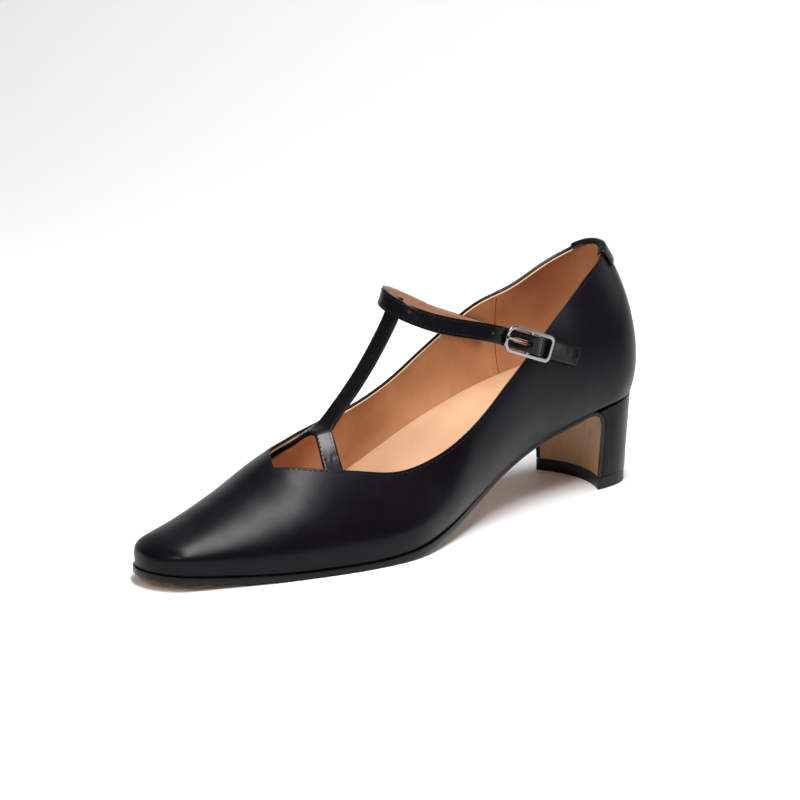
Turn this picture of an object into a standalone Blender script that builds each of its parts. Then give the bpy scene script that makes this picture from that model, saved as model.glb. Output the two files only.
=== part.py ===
"""T strap shoe on a covered block heel, the left one of a pair. Metres, +Z up.

The toe points along +X and the outer side, with the buckle, along +Y. The origin is on the floor, at the
middle of the heel's tread. The upper is lofted through the sections of a last, and the insole, sole, heel
and straps take their edges from the same sections.
"""
import bmesh
import bpy
from collections import namedtuple
from functools import lru_cache
from math import acos, cos, exp, pi, radians, sin, sqrt
from mathutils import Vector

# Last: overall sizes
LAST_LENGTH = 0.2433        # seat edge at the back to the tip of the toe, along the feather line
BALL_WIDTH = 0.0750         # across the feather line at the ball
HEEL_HEIGHT = 0.0393        # floor to the feather line at the back
INSTEP_HEIGHT = 0.0490      # feather line to the ridge of the instep, behind the throat
TOE_SPRING = 0.0042         # rise of the toe over the ball
SEAT_BACK = 0.0140          # middle of the heel's tread back to the seat edge
SEAT_ROUND = 0.0245         # length over which the seat rounds off at the back
TOE_ROUND = 0.0110          # length over which the toe rounds off at the tip
BACK_LEAN = 0.0104          # how far the topline at the back stands forward of the seat edge
BACK_HEIGHT = 0.0612        # feather line to topline, up the back seam
LEAN_REACH = 0.0800         # length from the back over which that lean fades out

# Leather, sole and heel
WALL = 0.0018               # upper with its lining
GAP = 0.0003                # clearance between pieces that touch
SOLE_THICKNESS = 0.0025
SOLE_EDGE = 0.0009          # how far the sole shows beyond the feather line in the forefoot
INSOLE_THICKNESS = 0.0034   # sock and board in the forefoot
INSOLE_HEEL = 0.0060        # the same with the heel pad
INSOLE_CURL = 0.0030        # how far the sock's inner edge climbs the arch
FLAP_THICKNESS = 0.0017     # the sole's flap down the breast of the heel
TREAD_LENGTH = 0.0240       # heel tread, breast corners to back
TREAD_WIDTH = 0.0380        # heel tread at the breast corners
BREAST_HOLLOW = 0.0057      # how deep the breast is hollowed between its corners
BREAST_FLARE = 0.0085       # length of the curve from the breast into the waist
LIFT_THICKNESS = 0.0050

# Straps, buckle and tab
STRAP_WIDTH = 0.0072
STRAP_THICKNESS = 0.0017
STRAP_FRONT = 0.1095        # heel's middle forward to the ankle strap over the instep
STRAP_FRONT_HEIGHT = 0.0922
STRAP_SIDE = 0.0618         # heel's middle forward to the buckle's middle
STRAP_OUTER_HEIGHT = 0.0735
STRAP_INNER_HEIGHT = 0.0735
STRAP_OUTER_WIDTH = 0.0285  # shoe's axis out to the strap at the buckle
STRAP_INNER_WIDTH = 0.0224
STRAP_DIP = 0.0028          # how far the strap dips between front and buckle on the outer side
STRAP_RISE = 0.0030         # how far it rises between front and root on the inner side
STRAP_LEAN = 15.0           # degrees the band leans back from upright
STRAP_TILT = 20.0           # degrees its sides lean in over the foot
TILT_LENGTH = 0.0120        # length over which that lean sets in
STRAP_SLANT = 0.0012        # how far the upper corner of the tip stands behind its middle
STRAP_TAIL = 0.0290         # buckle's middle to the strap's tip
STRAP_EDGE = 0.0500         # heel's middle forward to where the strap dips inside the inner quarter
STRAP_ROOT = 0.0100         # length sewn inside the inner quarter
BUCKLE_LIFT = 0.0012        # how far the buckle holds the strap off the tab behind it
BUMP_LENGTH = 0.0060        # half length of that rise
HOLE_START = 0.0008         # middle bar to the slot that the prong passes through
HOLE_LENGTH = 0.0076
HOLE_WIDTH = 0.0020
BAR_STRAP_WIDTH = 0.0078    # the T bar
BAR_THICKNESS = 0.0018
BAR_END = 0.0030            # how far its sewn end reaches up behind the ankle strap's middle
BAR_JUNCTION = 0.1425       # heel's middle forward to where the T bar forks
BAR_FORK = 0.0055           # fork to the crotch between the branches
CROSSING_EASE = 0.0010      # extra room between it and the ankle strap, which curves there
BAR_SAG = 0.0022            # how far the stem hangs in towards the foot
BRANCH_BACK = 0.1485        # heel's middle forward to a branch's back corner at the topline
BRANCH_FRONT = 0.1555       # the same to its front corner
BRANCH_OUTER = (0.0206, 0.0176)     # shoe's axis out to those corners, back and front
BRANCH_INNER = (0.0176, 0.0152)
BRANCH_TUCK = 0.40          # share of a branch's length that runs on inside the vamp
TAB_THICKNESS = 0.0009
TAB_WIDTH = 0.0068
TAB_LENGTH = 0.0150         # middle bar back along the quarter
BUCKLE_LENGTH = 0.0255      # along the strap
BUCKLE_WIDTH = 0.0112       # across the strap
BUCKLE_BAND = 0.0015        # width of the frame's metal, seen from outside
BUCKLE_METAL = 0.0012       # its thickness, and the middle bar's width
BUCKLE_CORNERS = (0.0046, 0.0026)  # radii at the strap's entry and at the tip's side
PRONG_WIRE = 0.0011
BACK_TAB_STATIONS = 5       # stations of the upper that it covers on each side
BACK_TAB_DROP = 0.0065      # down the outside
BACK_TAB_THICKNESS = 0.0008

# Sections of the last. along: share of LAST_LENGTH from the back of the seat. outer, inner: half widths of
# the feather line, and swell: how far the widest line stands beyond it, as shares of BALL_WIDTH. axis: sideways
# place of the ridge, a share of BALL_WIDTH. lift: feather line, a share of the heel's rise. arch: how much
# higher the inner feather line is, the same share. spring: share of TOE_SPRING. crown, hip: ridge and widest
# line over the feather line, shares of INSTEP_HEIGHT. round_out, round_in: fullness between them, 2 for an
# ellipse and less for a flatter slope.
Section = namedtuple(
    "Section", "along outer inner axis lift arch spring crown hip swell round_out round_in")
SECTIONS = [
    Section(0.00, 0.300, 0.300, 0.000, 1.000, 0.00, 0.00, 1.36, 0.30, 0.038, 1.8, 1.8),
    Section(0.05, 0.302, 0.302, 0.000, 0.975, 0.00, 0.00, 1.36, 0.30, 0.040, 1.7, 1.7),
    Section(0.11, 0.297, 0.297, 0.000, 0.925, 0.03, 0.00, 1.36, 0.31, 0.043, 1.7, 1.7),
    Section(0.18, 0.280, 0.284, 0.000, 0.810, 0.09, 0.00, 1.35, 0.37, 0.066, 1.8, 1.8),
    Section(0.26, 0.271, 0.275, 0.000, 0.655, 0.15, 0.00, 1.42, 0.45, 0.087, 2.3, 2.3),
    Section(0.34, 0.296, 0.293, 0.000, 0.455, 0.18, 0.00, 1.37, 0.47, 0.093, 2.3, 2.4),
    Section(0.42, 0.368, 0.347, 0.000, 0.268, 0.15, 0.00, 1.21, 0.37, 0.058, 2.2, 2.6),
    Section(0.50, 0.457, 0.407, 0.000, 0.122, 0.08, 0.00, 1.10, 0.22, 0.030, 1.6, 2.6),
    Section(0.58, 0.524, 0.444, 0.000, 0.037, 0.02, 0.00, 1.00, 0.18, 0.016, 1.4, 2.1),
    Section(0.66, 0.507, 0.456, 0.000, 0.000, 0.00, 0.00, 0.89, 0.16, 0.013, 1.5, 1.8),
    Section(0.74, 0.448, 0.435, -0.005, 0.000, 0.00, 0.00, 0.78, 0.15, 0.013, 1.6, 1.6),
    Section(0.82, 0.367, 0.377, -0.012, 0.000, 0.00, 0.10, 0.57, 0.14, 0.013, 1.7, 1.6),
    Section(0.90, 0.266, 0.289, -0.020, 0.000, 0.00, 0.42, 0.38, 0.13, 0.013, 1.8, 1.7),
    Section(0.96, 0.185, 0.220, -0.028, 0.000, 0.00, 0.75, 0.26, 0.12, 0.013, 2.0, 1.9),
    Section(1.00, 0.126, 0.189, -0.0315, 0.000, 0.00, 1.00, 0.19, 0.11, 0.011, 2.1, 2.1),
]

# Topline: how far up each section the leather goes, as a share of the way from feather line to ridge
Topline = namedtuple("Topline", "along outer inner")
TOPLINE = [
    Topline(0.00, 0.851, 0.851),
    Topline(0.05, 0.797, 0.797),
    Topline(0.11, 0.735, 0.733),
    Topline(0.18, 0.656, 0.647),
    Topline(0.26, 0.550, 0.527),
    Topline(0.34, 0.490, 0.458),
    Topline(0.42, 0.446, 0.439),
    Topline(0.50, 0.445, 0.467),
    Topline(0.58, 0.493, 0.567),
    Topline(0.66, 0.635, 0.700),
    Topline(0.70, 0.716, 0.762),
    Topline(0.72, 0.775, 0.860),
    Topline(0.75, 0.895, 1.080),
]
THROAT = 0.762              # share of LAST_LENGTH where the tip of the throat lies
THROAT_SIDE = 0.10          # how far the tip lies to the outer side of the ridge, a share of the section
THROAT_ROUND = 0.007        # share of LAST_LENGTH over which the tip rounds off
THROAT_TURN = 0.66          # share of LAST_LENGTH in front of which the topline may turn across the shoe
FAN_END = 0.840             # share of LAST_LENGTH where the rows that start on the throat's edge line up

BACK_SOFTEN = 0.012         # share of LAST_LENGTH over which the topline levels out at the back seam

PART_NAME = "t_strap_shoe"


# Curves through the tables

def smooth(table, column, along):
    """Value of a column at a share of the length, on a smooth curve through the table's rows."""
    xs = [row.along for row in table]
    ys = [getattr(row, column) for row in table]
    along = min(max(along, xs[0]), xs[-1])
    k = max(i for i in range(len(xs) - 1) if xs[i] <= along)
    step = xs[k + 1] - xs[k]

    def slope(i):
        low, high = max(i - 1, 0), min(i + 1, len(xs) - 1)
        return (ys[high] - ys[low]) / (xs[high] - xs[low])

    t = (along - xs[k]) / step
    return ((2 * t**3 - 3 * t**2 + 1) * ys[k] + (t**3 - 2 * t**2 + t) * step * slope(k)
            + (3 * t**2 - 2 * t**3) * ys[k + 1] + (t**3 - t**2) * step * slope(k + 1))


def rounded(distance, length, power=2.0):
    """0 at an end, 1 beyond the rounded length, along a superellipse."""
    near = 1 - min(max(distance / length, 0.0), 1.0)
    return (1 - near**power) ** (1 / power)


@lru_cache(maxsize=None)
def column(name, along):
    return smooth(SECTIONS, name, along)


def back_share(along):
    """Share of the full width where the seat rounds off."""
    return rounded(along * LAST_LENGTH, SEAT_ROUND, 2.3)


def toe_share(along):
    """Share of the full width where the toe rounds off."""
    return rounded((1 - along) * LAST_LENGTH, TOE_ROUND, 2.2)


def feather_height(along, side):
    """Height of the feather line on the outer side (+1) or the inner side (-1)."""
    rise = HEEL_HEIGHT - SOLE_THICKNESS - GAP
    share = max(column("lift", along), 0.0)
    if side < 0:
        share += max(column("arch", along), 0.0)
    return SOLE_THICKNESS + GAP + rise * share + TOE_SPRING * max(column("spring", along), 0.0)


def crown_rise(along):
    """Ridge over the feather line, lower at the rounded tip."""
    tip = 0.62 + 0.38 * rounded((1 - along) * LAST_LENGTH, 0.9 * TOE_ROUND)
    return column("crown", along) * INSTEP_HEIGHT * tip


def hip_rise(along):
    return min(column("hip", along) * INSTEP_HEIGHT, 0.5 * crown_rise(along))


@lru_cache(maxsize=None)
def section_points(along, side, steps=36):
    """Fine points y, z of one half section, from the feather line to the ridge, before the back is rounded."""
    name, fullness = ("outer", "round_out") if side > 0 else ("inner", "round_in")
    base = feather_height(along, side)
    edge = column(name, along) * BALL_WIDTH
    swell = column("swell", along) * BALL_WIDTH
    hip = hip_rise(along)
    crown = feather_height(along, 1) + crown_rise(along)
    power = 2 / column(fullness, along)
    axis = column("axis", along) * BALL_WIDTH
    reach = (edge + swell - side * axis) * toe_share(along)
    swell *= toe_share(along)
    points = []
    for i in range(steps // 3):
        t = 3 * i / steps
        points.append((axis + side * (reach - swell * (1 - t)**2), base + hip * t))
    for i in range(steps + 1):
        angle = 0.5 * pi * i / steps
        points.append((axis + side * reach * max(cos(angle), 0.0)**power,
                       base + hip + (crown - base - hip) * sin(angle)**power))
    return points


def point_at(points, share):
    """The point at a share of a polyline's length."""
    lengths = [0.0]
    for a, b in zip(points, points[1:]):
        lengths.append(lengths[-1] + sqrt((b[0] - a[0])**2 + (b[1] - a[1])**2))
    goal = min(max(share, 0.0), 1.0) * lengths[-1]
    for k in range(len(points) - 1):
        if goal <= lengths[k + 1]:
            t = (goal - lengths[k]) / max(lengths[k + 1] - lengths[k], 1e-12)
            return tuple(a + (b - a) * t for a, b in zip(points[k], points[k + 1]))
    return points[-1]


def last_x(along, height):
    """Place along the shoe, with the back leaning forward over the seat."""
    fade = max(0.0, 1 - along * LAST_LENGTH / LEAN_REACH)**2
    up = (height - feather_height(along, 1)) / BACK_HEIGHT
    return along * LAST_LENGTH - SEAT_BACK + BACK_LEAN * fade * (2 * up * up - up)


def last_point(along, side, share):
    """A point of the last's surface: share 0 on the feather line, 1 on the ridge, more on the other side."""
    if share > 1:
        side, share = -side, 2 - share
    y, height = point_at(section_points(along, side), share)
    return Vector((last_x(along, height), y * back_share(along), height))


def topline_share(along, side):
    """How far up the section the leather goes: to the topline, and in front of the throat to its tip's line."""
    tip = 1 - side * THROAT_SIDE
    if along >= THROAT:
        return tip
    edge = smooth(TOPLINE, "outer" if side > 0 else "inner", along * along / (along + BACK_SOFTEN))
    return tip - (tip - edge) * rounded(THROAT - along, THROAT_ROUND)


# Build helpers

def mesh_object(name, points, faces, collection, turned_out=False):
    """A new object from points and faces, with double points merged and faces turned out unless they are."""
    mesh = bpy.data.meshes.new(name)
    mesh.from_pydata([tuple(p) for p in points], [], faces)
    work = bmesh.new()
    work.from_mesh(mesh)
    bmesh.ops.remove_doubles(work, verts=work.verts, dist=0.000002)
    bmesh.ops.dissolve_degenerate(work, edges=work.edges, dist=0.000002)
    if not turned_out:
        bmesh.ops.recalc_face_normals(work, faces=work.faces)
    work.to_mesh(mesh)
    work.free()
    thing = bpy.data.objects.new(name, mesh)
    collection.objects.link(thing)
    return thing


def grid_faces(rows, columns, start=0, flip=False):
    """Quads between neighbouring rows of points."""
    faces = []
    for i in range(rows - 1):
        for k in range(columns - 1):
            a = start + i * columns + k
            quad = (a, a + 1, a + columns + 1, a + columns)
            faces.append(quad[::-1] if flip else quad)
    return faces


def block(name, point, rows, columns, levels, collection):
    """A closed solid from point(i, j, k), rows by columns by levels. One row or column may be a pole."""
    points = []
    faces = []

    def side(count_a, count_b, place):
        start = len(points)
        for a in range(count_a + 1):
            for b in range(count_b + 1):
                points.append(place(a, b))
        faces.extend(grid_faces(count_a + 1, count_b + 1, start))

    for k in (0, levels):
        side(rows, columns, lambda i, j, k=k: point(i, j, k))
    for j in (0, columns):
        side(rows, levels, lambda i, k, j=j: point(i, j, k))
    for i in (0, rows):
        side(columns, levels, lambda j, k, i=i: point(i, j, k))
    return mesh_object(name, points, faces, collection)


def add_modifier(thing, kind, **settings):
    modifier = thing.modifiers.new(kind.title(), kind)
    for key, value in settings.items():
        setattr(modifier, key, value)
    return modifier


def finish(thing, colour, roughness, metallic=0.0, smooth_angle=40.0):
    """The piece's own material, and smooth shading up to an angle."""
    material = bpy.data.materials.new(thing.name)
    material.use_nodes = True
    shader = material.node_tree.nodes["Principled BSDF"]
    shader.inputs["Base Color"].default_value = (*colour, 1.0)
    shader.inputs["Roughness"].default_value = roughness
    shader.inputs["Metallic"].default_value = metallic
    material.diffuse_color = (*colour, 1.0)
    thing.data.materials.clear()
    thing.data.materials.append(material)
    thing.data.shade_smooth()
    thing.data.set_sharp_from_angle(angle=radians(smooth_angle))
    return thing


def ease_in(start, end, count):
    """Values from start to end, close together at the start."""
    return [start + (end - start) * (1 - cos(0.5 * pi * i / count)) for i in range(count)]


def ease_out(start, end, count):
    """Values from start to end, close together at the end."""
    return [start + (end - start) * sin(0.5 * pi * i / count) for i in range(count)]


def even(start, end, count):
    return [start + (end - start) * i / count for i in range(count)]


# Surfaces that the pieces share

def feather_y(along, side):
    axis = column("axis", along) * BALL_WIDTH
    edge = column("outer" if side > 0 else "inner", along) * BALL_WIDTH
    return (axis + (side * edge - axis) * toe_share(along)) * back_share(along)


def seat_height(x, y):
    """Height of the surface that the feather lines span, on which insole, sole and heel meet."""
    along = min(max((x + SEAT_BACK) / LAST_LENGTH, 0.0), 1.0)
    outer = column("outer", along) * BALL_WIDTH
    inner = column("inner", along) * BALL_WIDTH
    share = min(max((y + inner) / (outer + inner), 0.0), 1.0)
    return feather_height(along, -1) * (1 - share) + feather_height(along, 1) * share


def feather_edges(alongs, inset):
    """Points of the outer and inner feather line, moved in by inset(along, side) square to the line."""
    edges = {}
    for side in (1, -1):
        line = [Vector((a * LAST_LENGTH - SEAT_BACK, feather_y(a, side))) for a in alongs]
        other = [Vector((p.x, feather_y(a, -side))) for a, p in zip(alongs, line)]
        before = [other[1] if alongs[0] == 0 else line[0]] + line[:-1]
        after = line[1:] + [other[-2] if alongs[-1] == 1 else line[-1]]
        edges[side] = []
        for a, low, here, high in zip(alongs, before, line, after):
            run = (high - low).normalized()
            inward = Vector((run.y, -run.x)) * side
            edges[side].append(here + inward * inset(a, side))
    return edges


def wall_inset(along, side, rise):
    """How far in from the feather line the clear space inside the upper starts, at a height over it."""
    points = section_points(along, side)
    height = points[0][1] + rise
    low, high = [(a, b) for a, b in zip(points, points[1:]) if b[1] > height or b is points[-1]][0]
    slope = (high[0] - low[0]) / max(high[1] - low[1], 1e-9)
    beyond = side * (low[0] + slope * (height - low[1]) - points[0][0])
    square = (back_share(along) * toe_share(along))**2
    return WALL * sqrt(1 + slope * slope) + 1.5 * GAP - beyond * square


def across(edges, i, share):
    """A point between the outer and inner edge points of station i."""
    return edges[1][i].lerp(edges[-1][i], share)


def wall_y(x, height, side):
    """Sideways place of the upper's outside at a place along the shoe and a height."""
    along = (x + SEAT_BACK) / LAST_LENGTH
    for _ in range(4):
        along += (x - last_x(along, height)) / LAST_LENGTH
        along = max(along, 0.0)
    points = section_points(along, side)
    rising = [(a, b) for a, b in zip(points, points[1:]) if a[1] <= height <= b[1]]
    low, high = rising[0]
    part = (height - low[1]) / max(high[1] - low[1], 1e-9)
    return (low[0] + (high[0] - low[0]) * part) * back_share(along)


# Upper

BACK_END = SEAT_ROUND / LAST_LENGTH
TOE_START = 1 - TOE_ROUND / LAST_LENGTH
BACK_STATIONS = ease_in(0.0, BACK_END, 7)
WALL_ROWS = 10
THROAT_ROWS = 4


def throat_bend(side):
    """Where the topline starts to run more across the shoe than along it."""
    along, step = THROAT_TURN, 0.001
    while along < THROAT - THROAT_ROUND:
        run = (last_point(along + step, side, topline_share(along + step, side))
               - last_point(along, side, topline_share(along, side)))
        if sqrt(run.y * run.y + run.z * run.z) > run.x:
            break
        along += step
    return along


def topline_along(share, side, start):
    """Where the topline reaches a share, in front of a place."""
    low, high = start, THROAT
    for _ in range(40):
        middle = 0.5 * (low + high)
        if topline_share(middle, side) < share:
            low = middle
        else:
            high = middle
    return high


def skin_grids(side):
    """Points of half the upper as two grids of rows by columns.

    Behind the throat's bend each column runs from the feather line to the topline. In front of it the columns
    fan out, so that those which meet the throat's edge start on it. At the toe both halves share their rows.
    """
    bend = throat_bend(side)
    low, high = topline_share(bend, side), topline_share(THROAT, side)
    behind = BACK_STATIONS + even(BACK_END, bend, 20) + [bend]
    first = [[last_point(along, side, topline_share(along, side) * k / WALL_ROWS)
              for k in range(WALL_ROWS + 1)] for along in behind]
    shares = ([low * k / WALL_ROWS for k in range(WALL_ROWS)]
              + [low + (high - low) * k / THROAT_ROWS for k in range(THROAT_ROWS + 1)])
    starts = [bend if share <= low else topline_along(share, side, bend) for share in shares]
    fan_steps = 8
    second = [[last_point(start + (FAN_END - start) * i / fan_steps, side, share)
               for start, share in zip(starts, shares)] for i in range(fan_steps)]
    last = len(shares) - 1
    for along in even(FAN_END, TOE_START, 5) + ease_out(TOE_START, 1.0, 6) + [1.0]:
        alike = ((along - FAN_END) / (1 - FAN_END))**2
        second.append([last_point(along, side, share + (k / last - share) * alike)
                       for k, share in enumerate(shares)])
    return first, second


def make_upper(collection):
    points = []
    faces = []
    for side in (1, -1):
        for grid in skin_grids(side):
            faces += grid_faces(len(grid), len(grid[0]), len(points), flip=side < 0)
            points += [point for row in grid for point in row]
    upper = mesh_object("upper", points, faces, collection, turned_out=True)
    add_modifier(upper, "SOLIDIFY", thickness=WALL, offset=-1.0, use_even_offset=True)
    return finish(upper, LEATHER, 0.32)


# Insole

def insole_rise(along):
    """Thickness of the insole: the heel's pad runs out under the ball."""
    pad = min(max((0.58 - along) / 0.25, 0.0), 1.0)
    return INSOLE_THICKNESS + (INSOLE_HEEL - INSOLE_THICKNESS) * pad * pad * (3 - 2 * pad)


def insole_curl(along, side):
    """How far the edge on a side stands over the rest: nothing on the outer side."""
    if side > 0:
        return 0.0
    share = min(max((0.66 - along) / 0.28, 0.0), 1.0) * back_share(along)**2
    return INSOLE_CURL * share * share * (3 - 2 * share)


def make_insole(collection):
    alongs = (ease_in(0.0, BACK_END, 6) + even(BACK_END, TOE_START, 20)
              + ease_out(TOE_START, 1.0, 5) + [1.0])
    low = feather_edges(alongs, lambda a, side: wall_inset(a, side, 0.0))
    high = feather_edges(alongs, lambda a, side: wall_inset(a, side, insole_rise(a) + insole_curl(a, side)))
    columns = 6

    def point(i, j, k):
        flat = across(high if k else low, i, j / columns)
        curl = insole_curl(alongs[i], -1) * max(2 * j / columns - 1, 0.0)**2
        return (flat.x, flat.y, seat_height(flat.x, flat.y) + k * (insole_rise(alongs[i]) + curl))

    insole = block("insole", point, len(alongs) - 1, columns, 1, collection)
    return finish(insole, SOCK, 0.6)


# Sole: forefoot and waist, and the flap that turns down the breast of the heel

def breast_x(share):
    """Front of the breast at a share across it, from -1 to 1."""
    return 0.5 * TREAD_LENGTH - BREAST_HOLLOW * (1 - share * share)


def waist_underside(x, y):
    return seat_height(x, y) - GAP - FLAP_THICKNESS


def breast_path(share, half_width, steps=9):
    """Points x, z and normals of the flap's face, from the waist round the bend and down to the top lift."""
    x = breast_x(share)
    y = share * half_width
    corner = Vector((x, waist_underside(x, y)))
    start = Vector((x + BREAST_FLARE, waist_underside(x + BREAST_FLARE, y)))
    end = Vector((x, corner.y - BREAST_FLARE))
    path = []
    for i in range(steps + 1):
        t = i / steps
        spot = start * (1 - t)**2 + corner * 2 * t * (1 - t) + end * t * t
        run = ((corner - start) * (1 - t) + (end - corner) * t).normalized()
        path.append((spot, Vector((run.y, -run.x))))
    bottom = LIFT_THICKNESS + GAP
    for i in (1, 2, 3):
        spot = Vector((x, end.y + (bottom - end.y) * i / 3))
        path.append((spot, Vector((-1.0, 0.0))))
    return path


def make_outsole(collection):
    columns = 6
    bend_start = (0.5 * TREAD_LENGTH + BREAST_FLARE + SEAT_BACK) / LAST_LENGTH
    waist_end = bend_start + 0.09
    alongs = ease_in(1.0, TOE_START, 5) + even(TOE_START, waist_end, 22) + [waist_end]
    edges = feather_edges(alongs[::-1], lambda a, side: -SOLE_EDGE * min(max((a - 0.40) / 0.15, -0.6), 1.0))
    edges = {side: line[::-1] for side, line in edges.items()}
    waist_steps = 4
    bend_rows = len(breast_path(0.0, 0.0))
    top_half = 0.5 * (feather_y(bend_start, 1) - feather_y(bend_start, -1)) - 0.5 * SOLE_EDGE
    rows = len(alongs) + waist_steps - 1 + bend_rows - 1

    def thickness(x):
        along = (x + SEAT_BACK) / LAST_LENGTH
        share = min(max((along - waist_end) / 0.22, 0.0), 1.0)
        return FLAP_THICKNESS + (SOLE_THICKNESS - FLAP_THICKNESS) * share

    def point(i, j, k):
        share = 1 - 2 * j / columns
        if i < len(alongs):
            flat = across(edges, i, j / columns)
            top = seat_height(flat.x, flat.y) - GAP
            return (flat.x, flat.y, top - (0 if k else thickness(flat.x)))
        path = breast_path(share, top_half)
        step = i - len(alongs) + 1
        last = across(edges, len(alongs) - 1, j / columns)
        if step < waist_steps:
            part = step / waist_steps
            x = last.x + (path[0][0].x - last.x) * part
            y = last.y + (share * top_half - last.y) * part
            top = seat_height(x, y) - GAP
            return (x, y, top - (0 if k else FLAP_THICKNESS))
        spot, normal = path[step - waist_steps]
        inside = spot + normal * FLAP_THICKNESS * k
        down = min(max((path[0][0].y - spot.y) / (path[0][0].y - LIFT_THICKNESS), 0.0), 1.0)
        half = top_half + (0.5 * TREAD_WIDTH - top_half) * down
        return (inside.x, share * half, inside.y)

    outsole = block("outsole", point, rows, columns, 1, collection)
    return finish(outsole, SOLE_LEATHER, 0.5)


# Heel and top lift

TREAD_POWER = 2.7           # squareness of the tread's back


def tread_point(part, side, front):
    """Point of the tread's outline: part 0 at a breast corner, 1 at the back."""
    angle = 0.5 * pi * part
    x = front - (front + 0.5 * TREAD_LENGTH) * sin(angle)**(2 / TREAD_POWER)
    return Vector((x, side * 0.5 * TREAD_WIDTH * max(cos(angle), 0.0)**(2 / TREAD_POWER)))


def make_heel(collection):
    rows, columns = 12, 6
    seam = FLAP_THICKNESS + GAP
    bend_start = (0.5 * TREAD_LENGTH + BREAST_FLARE + SEAT_BACK) / LAST_LENGTH
    top_half = 0.5 * (feather_y(bend_start, 1) - feather_y(bend_start, -1)) - 0.5 * SOLE_EDGE
    path_rows = len(breast_path(0.0, 0.0))
    first = 4
    levels = path_rows - 1 - first
    corner_path = breast_path(1.0, top_half)
    top_front = corner_path[first][0].x
    low_front = 0.5 * TREAD_LENGTH - seam

    def seat_point(part, side):
        angle = 0.5 * pi * part
        x = top_front - (top_front + SEAT_BACK) * sin(angle)**(2 / TREAD_POWER)
        along = (x + SEAT_BACK) / LAST_LENGTH
        return Vector((x, feather_y(along, side)))

    def point(i, j, k):
        share = 1 - 2 * j / columns
        part = i / rows
        path = breast_path(share, top_half)
        spots = [spot + normal * seam for spot, normal in path]
        front = spots[path_rows - 1 - k]
        heights = [spot.y for spot, _ in corner_path]
        fall = (heights[first] - heights[path_rows - 1 - k]) / (heights[first] - heights[-1])
        up = 1 - fall
        low = tread_point(part, 1, low_front).lerp(tread_point(part, -1, low_front), j / columns)
        high = seat_point(part, 1).lerp(seat_point(part, -1), j / columns)
        flat = low.lerp(high, up)
        top = seat_height(high.x, high.y) - GAP
        bottom = LIFT_THICKNESS + GAP
        height = bottom + (top - bottom) * up
        near = max(1 - part / 0.45, 0.0)**2
        half = top_half + (0.5 * TREAD_WIDTH - top_half) * fall
        front_flat = Vector((front.x, share * half))
        base = tread_point(0, 1, low_front).lerp(tread_point(0, -1, low_front), j / columns).lerp(
            seat_point(0, 1).lerp(seat_point(0, -1), j / columns), up)
        base_top = seat_height(*seat_point(0, 1).lerp(seat_point(0, -1), j / columns)) - GAP
        base_height = bottom + (base_top - bottom) * up
        flat += (front_flat - base) * near
        height += (front.y - base_height) * near
        return (flat.x, flat.y, height)

    heel = block("heel", point, rows, columns, levels, collection)
    return finish(heel, LEATHER, 0.32)


def make_top_lift(collection):
    rows, columns = 12, 6
    corner = 0.5 * TREAD_LENGTH

    def point(i, j, k):
        share = 1 - 2 * j / columns
        part = i / rows
        flat = tread_point(part, 1, corner).lerp(tread_point(part, -1, corner), j / columns)
        near = max(1 - part / 0.45, 0.0)**2
        return (flat.x + (breast_x(share) - corner) * near, flat.y, LIFT_THICKNESS * k)

    lift = block("top_lift", point, rows, columns, 1, collection)
    return finish(lift, RUBBER, 0.55)


# Straps

def ribbon(name, edges, thickness, collection, faces=None):
    """A strap: an open strip between pairs of edge points, thickened both ways."""
    points = [p for pair in edges for p in pair]
    faces = faces or grid_faces(len(edges), 2)
    strap = mesh_object(name, points, faces, collection)
    add_modifier(strap, "SOLIDIFY", thickness=thickness, offset=0.0, use_even_offset=True)
    return strap


def strap_height(x, side):
    """Height of the ankle strap's middle line, falling from the instep to the quarters."""
    low = STRAP_OUTER_HEIGHT if side > 0 else STRAP_INNER_HEIGHT
    share = (x - STRAP_SIDE) / (STRAP_FRONT - STRAP_SIDE)
    free_start = STRAP_SIDE + (0.55 * BUCKLE_LENGTH if side > 0 else 0.0)
    free = min(max((x - free_start) / (STRAP_FRONT - free_start), 0.0), 1.0)
    bend = (-STRAP_DIP if side > 0 else STRAP_RISE) * 3.08 * free**1.5 * sqrt(1 - free)
    return low + (STRAP_FRONT_HEIGHT - low) * share + bend


def strap_rest_y(x):
    """Sideways place of the strap's middle on the outer side: free, through the buckle, then on the quarter."""
    front = STRAP_SIDE + 0.55 * BUCKLE_LENGTH
    back = STRAP_SIDE - 0.55 * BUCKLE_LENGTH
    if x <= back:
        held_off = BUCKLE_LIFT * max(1 - (back - x) / 0.012, 0.0)
        return (wall_y(x, strap_height(x, 1), 1) + held_off
                + 2 * GAP + TAB_THICKNESS + 0.5 * STRAP_THICKNESS)
    if x < front:
        share = (x - back) / (front - back)
        return strap_rest_y(back) + (strap_rest_y(front) - strap_rest_y(back)) * share
    ahead = min((x - STRAP_SIDE) / (STRAP_FRONT - STRAP_SIDE), 1.0)
    return STRAP_OUTER_WIDTH * sqrt(1 - ahead * ahead)


@lru_cache(maxsize=None)
def buckle_place():
    """Middle of the buckle, and its directions towards the instep, up the strap's width and outwards."""
    ends = []
    for reach in (-0.5 * BUCKLE_LENGTH, 0.5 * BUCKLE_LENGTH):
        height = strap_height(STRAP_SIDE + reach, 1)
        ends.append(Vector((STRAP_SIDE + reach, strap_rest_y(STRAP_SIDE + reach), height)))
    ahead = (ends[1] - ends[0]).normalized()
    up = ahead.cross(Vector((0.0, 1.0, 0.0))).normalized()
    out = up.cross(ahead)
    lift = 0.5 * STRAP_THICKNESS + 1.5 * GAP + 0.5 * BUCKLE_METAL
    return 0.5 * (ends[0] + ends[1]) + out * lift, ahead, up, out


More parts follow.
